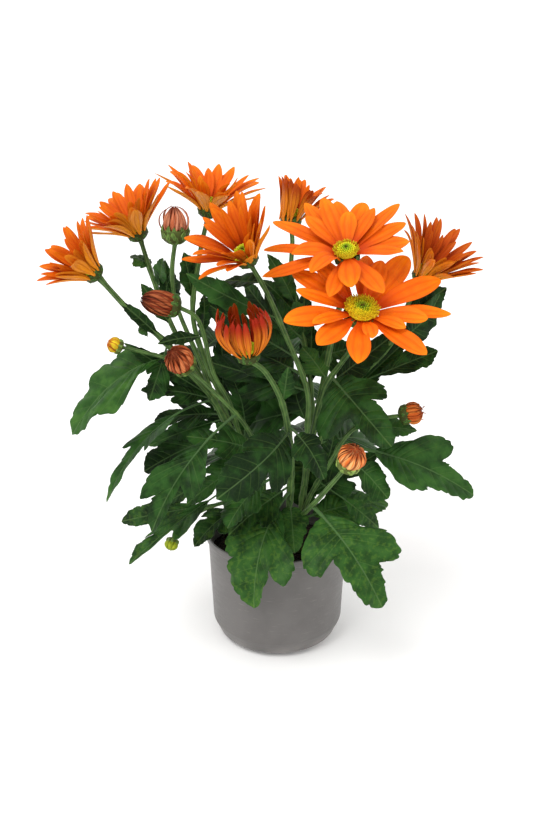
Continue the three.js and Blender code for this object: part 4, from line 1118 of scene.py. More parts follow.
def leafSurface(leaf, number):
    stemName, height, tip, width, options = leaf
    rule = {**leafRule, **options}
    start = pointAtHeight(stemName, height)
    tip = np.array(tip, float)
    chord = tip - start
    reach = np.linalg.norm(chord)
    above = squareTo(np.array(rule["faces"], float), unit(chord))
    stalk = rule["stalk"]
    rib = {"start": start, "crest": start + chord * 0.45 + above * rule["arch"] * reach, "tip": tip,
           "stalk": stalk, "above": above, "reach": reach}
    blade = reach * (1 - stalk)
    spread = width / (2 * rule["halfWidth"] * blade)
    kind = "plain" if width < rule["plainBelow"] else "fewLobed" if width < rule["fewBelow"] else "lobed"
    outline = np.array(plainEdge if kind == "plain" else lobedEdge)
    substeps = rule["smallSubsteps"] if width < rule["smallBelow"] else rule["substeps"]
    fineSteps = (len(outline) - 1) * substeps
    t = np.linspace(0, 1, fineSteps + 1)
    place, ahead, out = curveThrough(outline[:, :3], t).T
    out = np.maximum(out, 0)
    centre, along, normal, side = ribLine(rib, stalk + (1 - stalk) * place)
    steps = np.clip(width / rule["acrossStep"], rule["fewestAcross"], rule["mostAcross"])
    x = np.linspace(0, 1, int(steps))
    strength = outline[:, 3]
    veined = np.nonzero(strength)[0]
    weight = strength[veined][None, :, None]
    rough = np.array(roughPlaces[kind])
    size = np.clip(blade / 60, 0.3, 1.2)
    hands = []
    for hand in (-1, 1):
        jogs = chance(number * 2 + (hand > 0), np.arange(1, len(rough) + 1)) * 2 - 1
        uneven = 1 + rule["unevenness"] * np.interp(place, rough, jogs)
        slide, lobe, waist, end = leafSides[rule["left" if hand > 0 else "right"]]
        moved = ahead + slide * np.interp(place, sidePlaces, sideSlides)
        widen = np.interp(place, sidePlaces, (1, lobe, lobe, waist, end, end, 1))
        teeth = (edgeTeeth(number + 0.5 * hand, t * (len(outline) - 1)) * rule["tooth"]
                 * np.clip(out * 8, 0, 1) * (1 - ease(place, 0.85, 1)))
        forward = blade * (moved - place + teeth) * uneven
        lateral = np.maximum(blade * (out + teeth) * widen * spread * uneven,
                             rule["stalkRadius"] * (1 - ease(place, 0, 0.02)))
        across = lateral[:, None] * x
        lift = across * rule["fold"] - across ** 2 * rule["sag"] / blade
        swung = forward[:, None] * x ** rule["swing"]
        flat = field(across, blade * place[:, None] + swung, 0)
        far = np.linalg.norm(flat[:, None] - flat[veined * substeps][None], axis=-1)
        fromVein = (far / (0.35 + 0.65 * weight)).min(1)
        phase = chance(number, 40 + hand) * 6.28
        relief = -rule["groove"] * size * np.exp(-(fromVein / 1.1) ** 2) * (1 - 0.7 * x)
        relief = relief - 0.7 * size * np.exp(-(across / 1.3) ** 2) * (1 - place[:, None])
        pucker = 1 - np.exp(-(fromVein / (3.2 * size)) ** 2)
        relief = relief + rule["pucker"] * size * pucker * (1 - np.exp(-(across / 3) ** 2)) * (1 - x ** 4)
        wave = np.sin(place[:, None] * 19 + phase) + 0.6 * np.sin(place[:, None] * 37 + phase * 2.7)
        free = np.clip(lateral / blade * 4, 0, 1)[:, None]
        relief = relief + rule["wave"] * blade * wave * x ** 2.2 * free
        points = (centre[:, None] + along[:, None] * swung[..., None]
                  + side[:, None] * (hand * across)[..., None] + normal[:, None] * (lift + relief)[..., None])
        hands.append((points, field(hand * across, flat[..., 1], number * 37.0), field(across, fromVein, x)))
    upper, places, veins = (np.concatenate([one[:, :0:-1], other], 1) for one, other in zip(*hands))
    share = np.concatenate([x[:0:-1], x])
    thick = rule["thickness"] * (1 - 0.6 * share ** 3)
    lower = upper - normal[:, None] * thick[:, None]
    return upper, lower, places, veins, rib


def addLeaf(skin, leaf, number):
    upper, lower, places, veins, rib = leafSurface(leaf, number)
    tone = leafRule["spareShadeTone"]
    if number < len(leaves):
        tone = leafLightTones.get(number, chance(number, 77) * 2 - 1)
    # low: how low the leaf hangs; lower leaves are painted paler as painted light, and mottled
    low = float(np.clip((140 - upper[..., 2].mean()) / 90, 0, 1))
    top = {"place": places, "vein": veins, "state": (0.0, tone, low)}
    under = {"place": places, "vein": veins, "state": (1.0, tone, low)}
    addSheet(skin, upper, lower, top, under)
    stalk = rib["stalk"]
    onStalk, onBlade = leafRule["stalkRings"]
    u = np.concatenate([np.linspace(0, stalk, onStalk), np.linspace(stalk, 0.97, onBlade)[1:]])
    centre, _, normal, side = ribLine(rib, u)
    size = float(np.clip(leaf[3] / 34, 0.4, 1.15))
    radius = size * np.interp(u, [0, 0.03, stalk, 0.5, 1], leafRule["ribRadii"])
    sunk = ease(u, stalk * 0.8, stalk + 0.1)
    centre = centre - normal * (sunk * (radius * 0.55 + 0.55 * size * (1 - u)))[:, None]
    turn = np.linspace(0, 2 * math.pi, leafRule["stalkSides"], endpoint=False)
    channel = 1 - 0.28 * np.maximum(np.sin(turn), 0) ** 3
    rings = (centre[:, None] + side[:, None] * (radius[:, None] * channel * np.cos(turn))[..., None]
             + normal[:, None] * (radius[:, None] * channel * np.sin(turn))[..., None])
    place = field(turn, u[:, None] * rib["reach"], number * 37.0)
    addTube(skin, rings, {"place": place, "vein": (0.45, 9.0, 0.0), "state": (0.4, tone, low)})


def makeVeinGroup():
    # lines that thin out towards the edge, over a fine net
    group, given, out = newGroup("veinLines", {"place": "vector", "fromRib": "value", "fromVein": "value",
                                               "share": "value", "width": "value"}, {"lines": "value"})
    rib = fade(group, given["fromRib"], 0.15, 0.6, 1.0, 0.0)
    thin = calc(group, "MULTIPLY", given["width"], fade(group, given["share"], 0.0, 1.0, 1.0, 0.35))
    side = fade(group, given["fromVein"], calc(group, "MULTIPLY", thin, 0.25), thin, 0.5, 0.0)
    net = addNode(group, "ShaderNodeTexVoronoi", {"Vector": given["place"], "Scale": 0.42},
                  feature="DISTANCE_TO_EDGE").outputs["Distance"]
    netLine = fade(group, net, 0.0, 0.08, 0.12, 0.0)
    both = calc(group, "MAXIMUM", rib, side)
    group.links.new(calc(group, "MAXIMUM", both, netLine), out.inputs["lines"])
    return group


def makeLeafGreen():
    finish, tree, shader = newFinish("leafGreen", 0.5, Specular_IOR_Level=0.1)
    place = readField(tree, "place")
    fromRib, fromVein, share = readParts(tree, "vein")
    under, tone, low = readParts(tree, "state")
    lines = useGroup(tree, makeVeinGroup(), place=place, fromRib=fromRib, fromVein=fromVein, share=share,
                     width=0.62)
    patch = useGroup(tree, patches, place=place, size=9.0)
    grain = useGroup(tree, patches, place=place, size=0.7)
    spots = useGroup(tree, patches, place=place, size=2.4)
    # painted light and shade: random patches, the leaf's tone and how low it hangs make it darker or paler
    lit = calc(tree, "ADD", calc(tree, "MULTIPLY", patch, 0.45), calc(tree, "MULTIPLY", tone, 0.24))
    litLow = calc(tree, "ADD", lit, calc(tree, "MULTIPLY", low, 0.3))
    base = blend(tree, fade(tree, litLow, -0.1, 0.55), colour(leafRule["dark"]), colour(leafRule["green"]))
    bright = blend(tree, fade(tree, litLow, 0.4, 1.2), base, colour(leafRule["bright"]))
    mottled = calc(tree, "MULTIPLY", fade(tree, spots, 0.55, 1.0), calc(tree, "MULTIPLY", low, 0.26))
    mottle = blend(tree, mottled, bright, colour(leafRule["mottle"]))
    veined = blend(tree, calc(tree, "MULTIPLY", lines, 0.28), mottle, colour(leafRule["vein"]))
    underside = blend(tree, lines, colour(leafRule["under"]), colour(leafRule["underVein"]))
    shaded = blend(tree, calc(tree, "MULTIPLY", patch, 0.3), underside, colour(leafRule["green"]))
    tree.links.new(blend(tree, under, veined, shaded), shader.inputs["Base Color"])
    rough = calc(tree, "ADD", fade(tree, under, 0.0, 1.0, 0.42, 0.62), calc(tree, "MULTIPLY", grain, 0.08))
    tree.links.new(rough, shader.inputs["Roughness"])
    height = calc(tree, "SUBTRACT", calc(tree, "MULTIPLY", grain, 0.25), lines)
    bumpOn(tree, shader, height, 0.16, 0.7)
    return finish


leafGreen = makeLeafGreen()


def makeLeaves(plant):
    skin = newSkin()
    for number, leaf in enumerate(leaves + spareLeaves):
        if stems[leaf[0]]["plant"] == plant:
            addLeaf(skin, leaf, number)
    return meshFrom("leaves_" + plant, skin, leafGreen, sharp=70)


for plant in plants:
    finishPiece("leaves_" + plant, makeLeaves(plant), "leafy_stem", "leafy_stem_" + plant)
print("leaves")

# ---- ray petals

petalRule = {
    "calyx": 5.6,             # height of the green cup under a bloom
    "gap": 0.3,
    "rootWidth": 0.3,
    "widest": 0.56,
    "tipShape": 0.7,
    "rib": 0.3,
    "ribs": 8.2,
    "thickness": 0.34,
    "rows": 22,
    "bunching": 1.35,         # of the rows, towards the tip
    "cols": 11,
    "behind": 0.12,           # share of the length that reaches back into the cup
    "overlap": 1.3,
    "layers": (               # outermost first; the solids have the first and the third
        {"root": 0.6, "inset": 0.0},
        {"root": 1.2, "inset": 0.4},
        {"root": 1.8, "inset": 0.9},
        {"root": 2.3, "inset": 1.4},
    ),
    # deep: a darker orange, for random patches and streaks and for painted shade at the roots, in the grooves
    # and along the edges
    "deep": "cf4403",
    "orange": "ee7005",
    "tip": "fb920c",
    # inner: the red inside a bloom, partly the petals' own red and partly painted shade
    "inner": "7c1404",
    "under": "f49a1c",
    "bronze": "b24c14",
    "streak": "9c2804",
    "flush": "94200a",
}

# how each bloom's petals bend across (cup) and roll, curl either way and hook in at the tip, all in
# degrees, how red they are inside, which is partly painted shade, and how bronze beneath, and how pointed and
# narrow they are
bloomLooks = {
    "A": {"cup": 24, "roll": 8, "curl": 13, "inner": 0.0, "bronze": 0.1, "point": 2.1, "narrow": 1.0},
    "B": {"cup": 26, "roll": 10, "curl": 15, "inner": 0.1, "bronze": 0.1, "point": 2.0, "narrow": 1.0},
    "C": {"cup": 44, "roll": 14, "curl": 22, "inner": 0.3, "bronze": 0.1, "point": 2.2, "narrow": 0.9},
    "D": {"cup": 44, "roll": 14, "curl": 26, "inner": 0.14, "bronze": 0.0, "point": 1.9, "narrow": 0.96},
    "E": {"cup": 46, "roll": 14, "curl": 24, "inner": 0.25, "bronze": 0.1, "point": 2.2, "narrow": 0.96},
    "F": {"cup": 48, "roll": 12, "curl": 18, "inner": 0.3, "bronze": 0.15, "point": 2.0, "narrow": 0.9},
    "G": {"cup": 50, "roll": 12, "curl": 26, "inner": 0.2, "bronze": 0.35, "point": 2.4, "narrow": 0.96},
    "H": {"cup": 60, "roll": 12, "curl": 16, "inner": 0.7, "bronze": 0.15, "point": 2.4, "narrow": 0.84},
    "I": {"cup": 95, "roll": 8, "curl": 10, "inner": 0.95, "bronze": 0.5, "point": 4.5, "narrow": 0.6,
          "hook": 28},
}


def layersOf(bloom):
    # the solids' two layers, with finer ones between and inside them
    outer, inner = bloom["layers"]
    between = {"count": outer["count"] - 2, "first": outer["first"] + 180 / outer["count"],
               "length": outer["length"] * 0.95, "width": outer["width"] * 0.95,
               "lift": [outer["lift"][k] * 0.55 + inner["lift"][k] * 0.45 for k in (0, 1)],
               "lean": outer["lean"]}
    inmost = {"count": inner["count"] + 1, "first": inner["first"] + 25, "length": inner["length"] * 0.86,
              "width": inner["width"] * 0.85, "lift": [inner["lift"][0] + 6, inner["lift"][1] + 10],
              "lean": inner["lean"]}
    return [outer, between, inner, inmost]


def petalsOf(name, seed):
    bloom = blooms[name]
    if "petals" in bloom:
        keys = ("azimuth", "length", "width", "root", "tip", "layer")
        rows = [dict(zip(keys, row)) for row in bloom["petals"]]
        return [{**row, "layer": row["layer"] * 2} for row in rows]
    petals = []
    for layer, rule in enumerate(layersOf(bloom)):
        for i in range(rule["count"]):
            draw = draws(seed * 7 + layer // 2 * 31 + layer % 2 * 17 + i, (1, 2, 3))
            azimuth = rule["first"] + 360 / rule["count"] * (i + 0.14 * draw[0])
            leanFrom, lean = rule["lean"]
            tilt = lean * math.cos(math.radians(azimuth - leanFrom)) + 4 * draw[1]
            petals.append({"azimuth": azimuth, "length": rule["length"] * (1 + 0.06 * draw[2]),
                           "width": rule["width"], "root": rule["lift"][0] + tilt,
                           "tip": rule["lift"][1] + tilt, "layer": layer})
    return petals


def petalOutline(share, width, point, tipShape):
    rise = np.sin(np.clip(share / petalRule["widest"], 0, 1) * math.pi / 2)
    past = np.clip((share - petalRule["widest"]) / (1 - petalRule["widest"]), 0, 1)
    body = petalRule["rootWidth"] + (1 - petalRule["rootWidth"]) * rise
    return width / 2 * np.where(past > 0, (1 - past ** point) ** tipShape, body)


def addPetal(skin, name, petal, room, number):
    bloom, look = blooms[name], bloomLooks[name]
    step = petalRule["layers"][petal["layer"]]
    seat, axis, right, rise = flowerFrame(bloom)
    turn = math.radians(petal["azimuth"])
    outward = right * math.cos(turn) + rise * math.sin(turn)
    across = np.cross(axis, outward)
    draw = draws(number, range(50, 58))
    rows = petalRule["rows"]
    share = np.concatenate([np.linspace(-petalRule["behind"], 0, 3)[:2],
                            1 - (1 - np.linspace(0, 1, rows - 2)) ** petalRule["bunching"]])
    share[-1] = 0.9985
    length = petal["length"]
    lift = np.radians(petal["root"] + (petal["tip"] - petal["root"]) * np.maximum(share, 0))
    lift = lift + math.radians(look["curl"]) * draw[0] * ease(share, 0.55, 1.1)
    lift = lift + math.radians(look.get("hook", 0)) * ease(share, 0.5, 1.0) * (1 + 0.3 * draw[6])
    middle = (lift[1:] + lift[:-1]) / 2
    gone = np.diff(share) * length
    out = np.concatenate([[0], np.cumsum(np.cos(middle) * gone)])
    high = np.concatenate([[0], np.cumsum(np.sin(middle) * gone)])
    rim = bloom["core"] - step["inset"]
    foot = petalRule["calyx"] + petalRule["gap"] + step["root"]
    out = out - np.interp(0, share, out) + rim
    high = high - np.interp(0, share, high) + foot + ease(share, 0, 0.4) * (number % 2) * 0.55
    sway = length * 0.025 * draw[1] * np.maximum(share, 0) ** 2
    centre = seat + axis * high[:, None] + outward * out[:, None] + across * sway[:, None]
    along = outward * np.cos(lift)[:, None] + axis * np.sin(lift)[:, None]
    normal = np.cross(along, across)
    tilt = np.radians(look["roll"] * draw[2] + 10 * draw[3] * share)[:, None]
    side = across * np.cos(tilt) + normal * np.sin(tilt)
    normal = normal * np.cos(tilt) - across * np.sin(tilt)
    tipShape = petalRule["tipShape"] + 0.1 * draw[4]
    width = petal["width"] * look["narrow"] * (1 + 0.1 * draw[1])
    half = petalOutline(np.maximum(share, 0), width, look["point"], tipShape)
    half = half * np.where(share < 0, 0.9, 1)
    allowed = np.maximum(out, 2)[:, None] * np.tan(np.radians(room)) * petalRule["overlap"] + 0.3
    half = np.minimum(half[:, None], allowed)
    x = np.linspace(-1, 1, petalRule["cols"])
    reach = np.where(x < 0, half[:, :1], half[:, 1:])
    bend = math.radians(look["cup"]) * (0.75 + 0.5 * (1 - ease(share, 0, 0.5)))[:, None]
    bend = bend * (1 + 0.15 * draw[5])
    sideways = reach * np.sin(bend * x) / bend
    raised = reach * (1 - np.cos(bend * x)) / bend
    full = np.clip(half.max(1) / 5, 0.2, 1.2)[:, None]
    fadeEnds = (ease(share, 0.02, 0.25) * (1 - ease(share, 0.88, 1.0)))[:, None]
    ribs = petalRule["rib"] * full * fadeEnds * np.cos(x * petalRule["ribs"] + draw[4] * 0.4)
    ruffle = 0.3 * full * np.sin(share * 9 + draw[7] * 6)[:, None] * np.abs(x) ** 3
    ruffle = ruffle * ease(share, 0.2, 0.6)[:, None]
    surface = (centre[:, None] + side[:, None] * sideways[..., None]
               + normal[:, None] * (raised + ribs + ruffle)[..., None])
    thick = petalRule["thickness"] * (1 - 0.65 * x ** 2) * (1 - 0.45 * np.maximum(share, 0))[:, None] * 0.5
    depth = normal[:, None] * thick[..., None]
    place = field(sideways, share[:, None] * length, number * 13.0)
    shape = field(x, share[:, None], draw[4])
    addSheet(skin, surface + depth, surface - depth,
             {"place": place, "shape": shape, "state": (0.0, look["inner"], draw[5])},
             {"place": place, "shape": shape, "state": (1.0, look["bronze"], draw[5])})


def makePetalSkin(name, palette):
    finish, tree, shader = newFinish(name, 0.55, Specular_IOR_Level=0.12)
    place = readField(tree, "place")
    across, share, point = readParts(tree, "shape")
    under, red, tone = readParts(tree, "state")
    fine = useGroup(tree, fibre, place=place, pitch=0.42, stretch=16.0)
    broad = useGroup(tree, fibre, place=place, pitch=1.5, stretch=9.0)
    patch = useGroup(tree, patches, place=place, size=7.0)
    # painted shade deepens each petal towards its root; it grows paler towards its tip
    shade = calc(tree, "MULTIPLY_ADD", tone, 0.1, share)
    top = blend(tree, fade(tree, shade, -0.05, 0.45), colour(palette["deep"]), colour(palette["orange"]))
    paler = blend(tree, fade(tree, shade, 0.55, 1.15, 0.0, 0.8), top, colour(palette["tip"]))
    uneven = blend(tree, calc(tree, "MULTIPLY", patch, 0.22), paler, colour(palette["deep"]))
    lined = blend(tree, calc(tree, "MULTIPLY", fine, 0.22), uneven, colour(palette["deep"]))
    # painted shade in the grooves and along the edges of each petal
    phase = calc(tree, "MULTIPLY_ADD", across, palette["ribs"], calc(tree, "MULTIPLY", point, 0.4))
    groove = fade(tree, calc(tree, "COSINE", phase), -1.0, -0.2, 1.0, 0.0)
    onBlade = calc(tree, "MULTIPLY", fade(tree, share, 0.0, 0.2), fade(tree, share, 0.7, 1.0, 1.0, 0.2))
    edge = fade(tree, calc(tree, "ABSOLUTE", across), 0.8, 1.0)
    lines = calc(tree, "MAXIMUM", calc(tree, "MULTIPLY", groove, onBlade), edge)
    ribbed = blend(tree, calc(tree, "MULTIPLY", lines, 0.34), lined, colour(palette["deep"]))
    # the red inside: partly the petals' own red, partly painted shade at the root and in the cup
    throatShade = calc(tree, "MULTIPLY", fade(tree, red, 0.0, 0.25), fade(tree, share, 0.0, 0.5, 0.7, 0.0))
    redAndShade = calc(tree, "MULTIPLY", red, fade(tree, share, 0.2, 1.0, 1.0, 0.75))
    inner = blend(tree, calc(tree, "MAXIMUM", throatShade, redAndShade), ribbed, colour(palette["inner"]))
    pale = blend(tree, red, colour(palette["under"]), colour(palette["bronze"]))
    fibres = calc(tree, "MULTIPLY", calc(tree, "MAXIMUM", calc(tree, "MULTIPLY", broad, 0.7), fine), 0.24)
    # beneath too: fibre streaks, with painted shade in the grooves and along the edges
    lineDepth = calc(tree, "MULTIPLY_ADD", red, 0.6, 0.34)
    streaks = calc(tree, "MAXIMUM", fibres, calc(tree, "MULTIPLY", lines, lineDepth))
    streaked = blend(tree, streaks, pale, colour(palette["streak"]))
    flushed = calc(tree, "MULTIPLY", fade(tree, red, 0.0, 0.5), fade(tree, share, 0.42, 0.9))
    tipped = blend(tree, flushed, streaked, colour(palette["flush"]))
    tree.links.new(blend(tree, under, inner, tipped), shader.inputs["Base Color"])
    height = calc(tree, "ADD", fine, calc(tree, "MULTIPLY", broad, 1.4))
    bumpOn(tree, shader, height, 0.07, 0.7)
    return finish


petalSkin = makePetalSkin("petalSkin", petalRule)


def makeRays(name, seed):
    petals = petalsOf(name, seed)
    skin = newSkin()
    for layer in range(len(petalRule["layers"])):
        row = sorted((p for p in petals if p["layer"] == layer), key=lambda p: p["azimuth"])
        for i, petal in enumerate(row):
            before = (petal["azimuth"] - row[i - 1]["azimuth"]) % 360
            after = (row[(i + 1) % len(row)]["azimuth"] - petal["azimuth"]) % 360
            addPetal(skin, name, petal, (before / 2, after / 2), seed * 100 + layer * 50 + i)
    return meshFrom("rays_" + name, skin, petalSkin, sharp=75)


for seed, name in enumerate(blooms):
    finishPiece("rays_" + name, makeRays(name, seed), "petals", nodeOf(name) + "_rays")
print("ray petals")

# ---- discs and green cups

discRule = {
    "foot": 8.5,              # above the seat
    "dome": 3.1,
    "floret": 1.12,
    "openFrom": {"A": 0.5, "B": 0.8},
    "counts": {"A": 150, "B": 110},
    "count": 90,
    "shut": 1.2,              # past the rim, so that none is open
    "trumpet": [(0.2, -0.6), (0.26, 0.6), (0.34, 1.5), (0.55, 2.1), (0.8, 2.35), (0.3, 1.7)],
    "column": [(0.16, 1.6), (0.17, 2.9), (0.24, 3.1), (0.05, 3.3)],
    "bead": [(0.3, -0.5), (0.42, 0.3), (0.56, 0.9), (0.5, 1.3), (0.26, 1.62), (0.04, 1.7)],
    "ripe": {"A": 1.0, "B": 0.6},
    "unripe": 0.15,
    "lime": "b2cc1c",
    "green": "78ac20",
    "yellow": "f2e01c",
    "brown": "c8780c",
    # hollow: painted shade, the dark middle of the disc
    "hollow": "1c2c08",
}

cupRule = {
    "rows": 3,
    "perRow": 9,
    "length": 6.2,
    "width": 2.7,
    "seed": 7,
    "green": "3a5f22",
    "dark": "1c3a14",
    "edge": "7c9a4a",
    "dry": "3c3a18",
    "fresh": "a4c060",
    "freshness": {"M": 0.85, "L": 0.3, "J": 0.2, "P": 0.5, "O": 0.4},
    "outline": [(0.34, 0), (0.74, 0.2), (0.95, 0.5), (1.0, 0.8), (0.97, 1.0), (0.5, 1.02), (0.05, 1.03)],
}


def roundSkin(profile, sides, attribute, wobble=None):
    # a closed round shape about the vertical, from (radius, height) rows
    turn = np.linspace(0, 2 * math.pi, sides, endpoint=False)
    profile = np.array(profile, float)
    out = np.repeat(profile[:, :1], sides, 1)
    high = np.repeat(profile[:, 1:], sides, 1)
    if wobble is not None:
        out, high = wobble(out, high, turn)
    skin = newSkin()
    share = np.linspace(0, 1, len(profile))[:, None]
    addTube(skin, field(out * np.cos(turn), out * np.sin(turn), high), {attribute: field(share, turn, 0)})
    return skin


def openFloret():
    # a small trumpet with five lobes and the yellow column that stands out of it
    def lobes(out, high, turn):
        spread = np.zeros((len(out), 1))
        spread[3:5, 0] = (0.35, 1)
        star = np.cos(turn * 5)
        return out * (1 + 0.28 * spread * star), high + 0.5 * spread * star
    trumpet = roundSkin(discRule["trumpet"], 10, "floret", lobes)
    column = roundSkin(discRule["column"], 5, "floret")
    addPart(trumpet, np.concatenate(column["points"]), np.concatenate(column["faces"]),
            {"floret": np.concatenate(column["values"]["floret"])})
    return bpy.data.objects.new("openFloret", meshFrom("openFloret", trumpet, scale=1, sharp=180))


def shutFloret():
    # a small closed bead with five faint sides
    def facets(out, high, turn):
        return out * (1 + 0.07 * np.cos(turn * 5)), high
    bead = roundSkin(discRule["bead"], 10, "floret", facets)
    return bpy.data.objects.new("shutFloret", meshFrom("shutFloret", bead, scale=1, sharp=180))


def makeFloretTree():
    # florets on a golden spiral over a dome: shut in the middle and open towards the rim
    tree, given, out = newTree("discFlorets", {"radius": "number", "dome": "number", "florets": "whole",
                                               "size": "number", "openFrom": "number", "seed": "whole",
                                               "open": "object", "shut": "object", "finish": "finish"})
    line = addNode(tree, "GeometryNodeMeshLine", {"Count": given["florets"]})
    index = addNode(tree, "GeometryNodeInputIndex").outputs[0]
    ratio = calc(tree, "DIVIDE", calc(tree, "ADD", index, 0.5), given["florets"])
    share = calc(tree, "SQRT", ratio)
    turn = calc(tree, "MULTIPLY", index, goldenTurn)
    away = calc(tree, "MULTIPLY", share, given["radius"])
    x = calc(tree, "MULTIPLY", away, calc(tree, "COSINE", turn))
    y = calc(tree, "MULTIPLY", away, calc(tree, "SINE", turn))
    drop = calc(tree, "POWER", share, 2.4)
    z = calc(tree, "MULTIPLY", given["dome"], calc(tree, "SUBTRACT", 1.0, drop))
    place = addNode(tree, "ShaderNodeCombineXYZ", {"X": x, "Y": y, "Z": z})
    placed = addNode(tree, "GeometryNodeSetPosition",
                     {"Geometry": line.outputs[0], "Position": place.outputs[0]})
    random = addNode(tree, "FunctionNodeRandomValue", {"Min": -1.0, "Max": 1.0, "Seed": given["seed"]},
                     data_type="FLOAT").outputs["Value"]
    upright = calc(tree, "MULTIPLY_ADD", random, 1.2, calc(tree, "MULTIPLY", given["radius"], 1.3))
    lean = addNode(tree, "ShaderNodeCombineXYZ", {"X": x, "Y": y, "Z": upright})
    stood = addNode(tree, "FunctionNodeAlignRotationToVector", {"Vector": lean.outputs[0]}, axis="Z")
    grown = calc(tree, "MULTIPLY_ADD", share, 0.5, 0.62)
    sized = calc(tree, "MULTIPLY", calc(tree, "MULTIPLY", given["size"], grown),
                 calc(tree, "MULTIPLY_ADD", random, 0.14, 1.0))
    isOpen = calc(tree, "GREATER_THAN", calc(tree, "MULTIPLY_ADD", random, 0.06, share), given["openFrom"])
    isShut = calc(tree, "LESS_THAN", isOpen, 0.5)
    sets = []
    for key, chosen in (("open", isOpen), ("shut", isShut)):
        shape = addNode(tree, "GeometryNodeObjectInfo", {"Object": given[key]}).outputs["Geometry"]
        put = addNode(tree, "GeometryNodeInstanceOnPoints",
                      {"Points": placed.outputs[0], "Selection": chosen, "Instance": shape,
                       "Rotation": stood.outputs[0], "Scale": sized})
        sets.append(put.outputs[0])
    both = addNode(tree, "GeometryNodeJoinGeometry")
    for item in sets:
        tree.links.new(item, both.inputs[0])
    return endTree(tree, out, both.outputs[0], given["finish"])


def flowerMatrix(flower, height=0.0):
    # from a flower's own millimetres, with its axis upright, to its place in metres
    seat, axis, right, rise = flowerFrame(flower)
    seat = seat + axis * height
    rows = [[right[i], rise[i], axis[i], seat[i]] for i in range(3)] + [[0, 0, 0, 1]]
    return Matrix.Scale(mm, 4) @ Matrix(rows)


def setShare(mesh, name, radius, ripeness):
    # how far each point stands from a flower's axis, as a share of the radius, and how ripe it is
    points = np.empty(len(mesh.vertices) * 3, np.float32)
    mesh.vertices.foreach_get("co", points)
    points = points.reshape(-1, 3)
    share = np.hypot(points[:, 0], points[:, 1]) / radius
    carried = mesh.attributes.new(name, "FLOAT_VECTOR", "POINT")
    carried.data.foreach_set("vector", field(share, points[:, 2], ripeness).astype(np.float32).ravel())


def makeDiscYellow():
    finish, tree, shader = newFinish("discYellow", 0.6, Specular_IOR_Level=0.25)
    high = readParts(tree, "floret")[0]
    disc = readParts(tree, "disc")
    share, ripeness = disc[0], disc[2]
    place = addNode(tree, "ShaderNodeTexCoord").outputs["Object"]
    grain = useGroup(tree, patches, place=place, size=0.0012)
    # painted shade: a dark hollow in the middle of the disc
    middle = blend(tree, fade(tree, share, 0.09, 0.2), colour(discRule["hollow"]), colour(discRule["green"]))
    outer = blend(tree, fade(tree, share, 0.16, 0.42), middle, colour(discRule["lime"]))
    ripe = blend(tree, calc(tree, "MULTIPLY", fade(tree, share, 0.36, 0.7), ripeness), outer,
                 colour(discRule["yellow"]))
    tipped = calc(tree, "MULTIPLY", fade(tree, high, 0.55, 1.0), fade(tree, share, 0.75, 1.05, 0.0, 0.6))
    browned = blend(tree, tipped, ripe, colour(discRule["brown"]))
    tree.links.new(blend(tree, calc(tree, "MULTIPLY", grain, 0.24), browned, colour(discRule["brown"])),
                   shader.inputs["Base Color"])
    return finish


discYellow = makeDiscYellow()
florets = makeFloretTree()
openShape, shutShape = openFloret(), shutFloret()


def makeDisc(name):
    bloom = blooms[name]
    radius = bloom["disc"]
    count = discRule["counts"].get(name, discRule["count"])
    size = radius / math.sqrt(count) * 1.42
    values = {"radius": radius * 0.94, "dome": discRule["dome"], "size": size * discRule["floret"],
              "florets": count, "seed": ord(name),
              "openFrom": discRule["openFrom"].get(name, discRule["shut"]), "open": openShape,
              "shut": shutShape, "finish": discYellow}
    crowd = growWith(florets, "disc_" + name, bpy.data.meshes.new("spiral"), values)
    dome = [(radius * 0.9, -1.2), (radius * 0.97, 0), (radius * 0.85, 0.9), (radius * 0.6, 1.9),
            (radius * 0.3, 2.5), (0.3, 2.7)]
    body = meshFrom("discBody", roundSkin(dome, 40, "floret"), discYellow, scale=1)
    crowd.transform(Matrix.Translation((0, 0, -0.2)))
    joined = joinMeshes("disc_" + name, [crowd, body])
    setShare(joined, "disc", radius, discRule["ripe"].get(name, discRule["unripe"]))
    joined.transform(flowerMatrix(bloom, discRule["foot"]))
    return joined


def joinMeshes(name, meshes):
    holders = [link(bpy.data.objects.new(name, mesh)) for mesh in meshes]
    with bpy.context.temp_override(active_object=holders[0], selected_editable_objects=holders):
        bpy.ops.object.join()
    mesh = holders[0].data
    bpy.data.objects.remove(holders[0])
    mesh.name = name
    mesh.shade_smooth()
    return mesh


for name in blooms:
    finishPiece("disc_" + name, makeDisc(name), "disc", nodeOf(name) + "_disc")
print("discs")


def bractShape():
    # a small pointed scale, one long and one wide, which stands on its base and bows outwards
    share = np.linspace(0, 1, 7)
    x = np.linspace(-1, 1, 5)
    half = 0.5 * np.sin(np.clip(share * 0.86 + 0.14, 0, 1) * math.pi) ** 0.6 * (1 - 0.15 * share)
    half[-1] = 0.02
    bow = 0.16 * np.sin(share * math.pi) - 0.02
    surface = field(half[:, None] * x, -bow[:, None] + 0.16 * (half[:, None] * x * 2) ** 2, share[:, None])
    shape = field(x, share[:, None], 0)
    thick = np.array([0, 0.03, 0])
    skin = newSkin()
    addSheet(skin, surface - thick, surface + thick, {"shape": shape}, {"shape": shape})
    return bpy.data.objects.new("bractShape", meshFrom("bractShape", skin, scale=1, sharp=180))


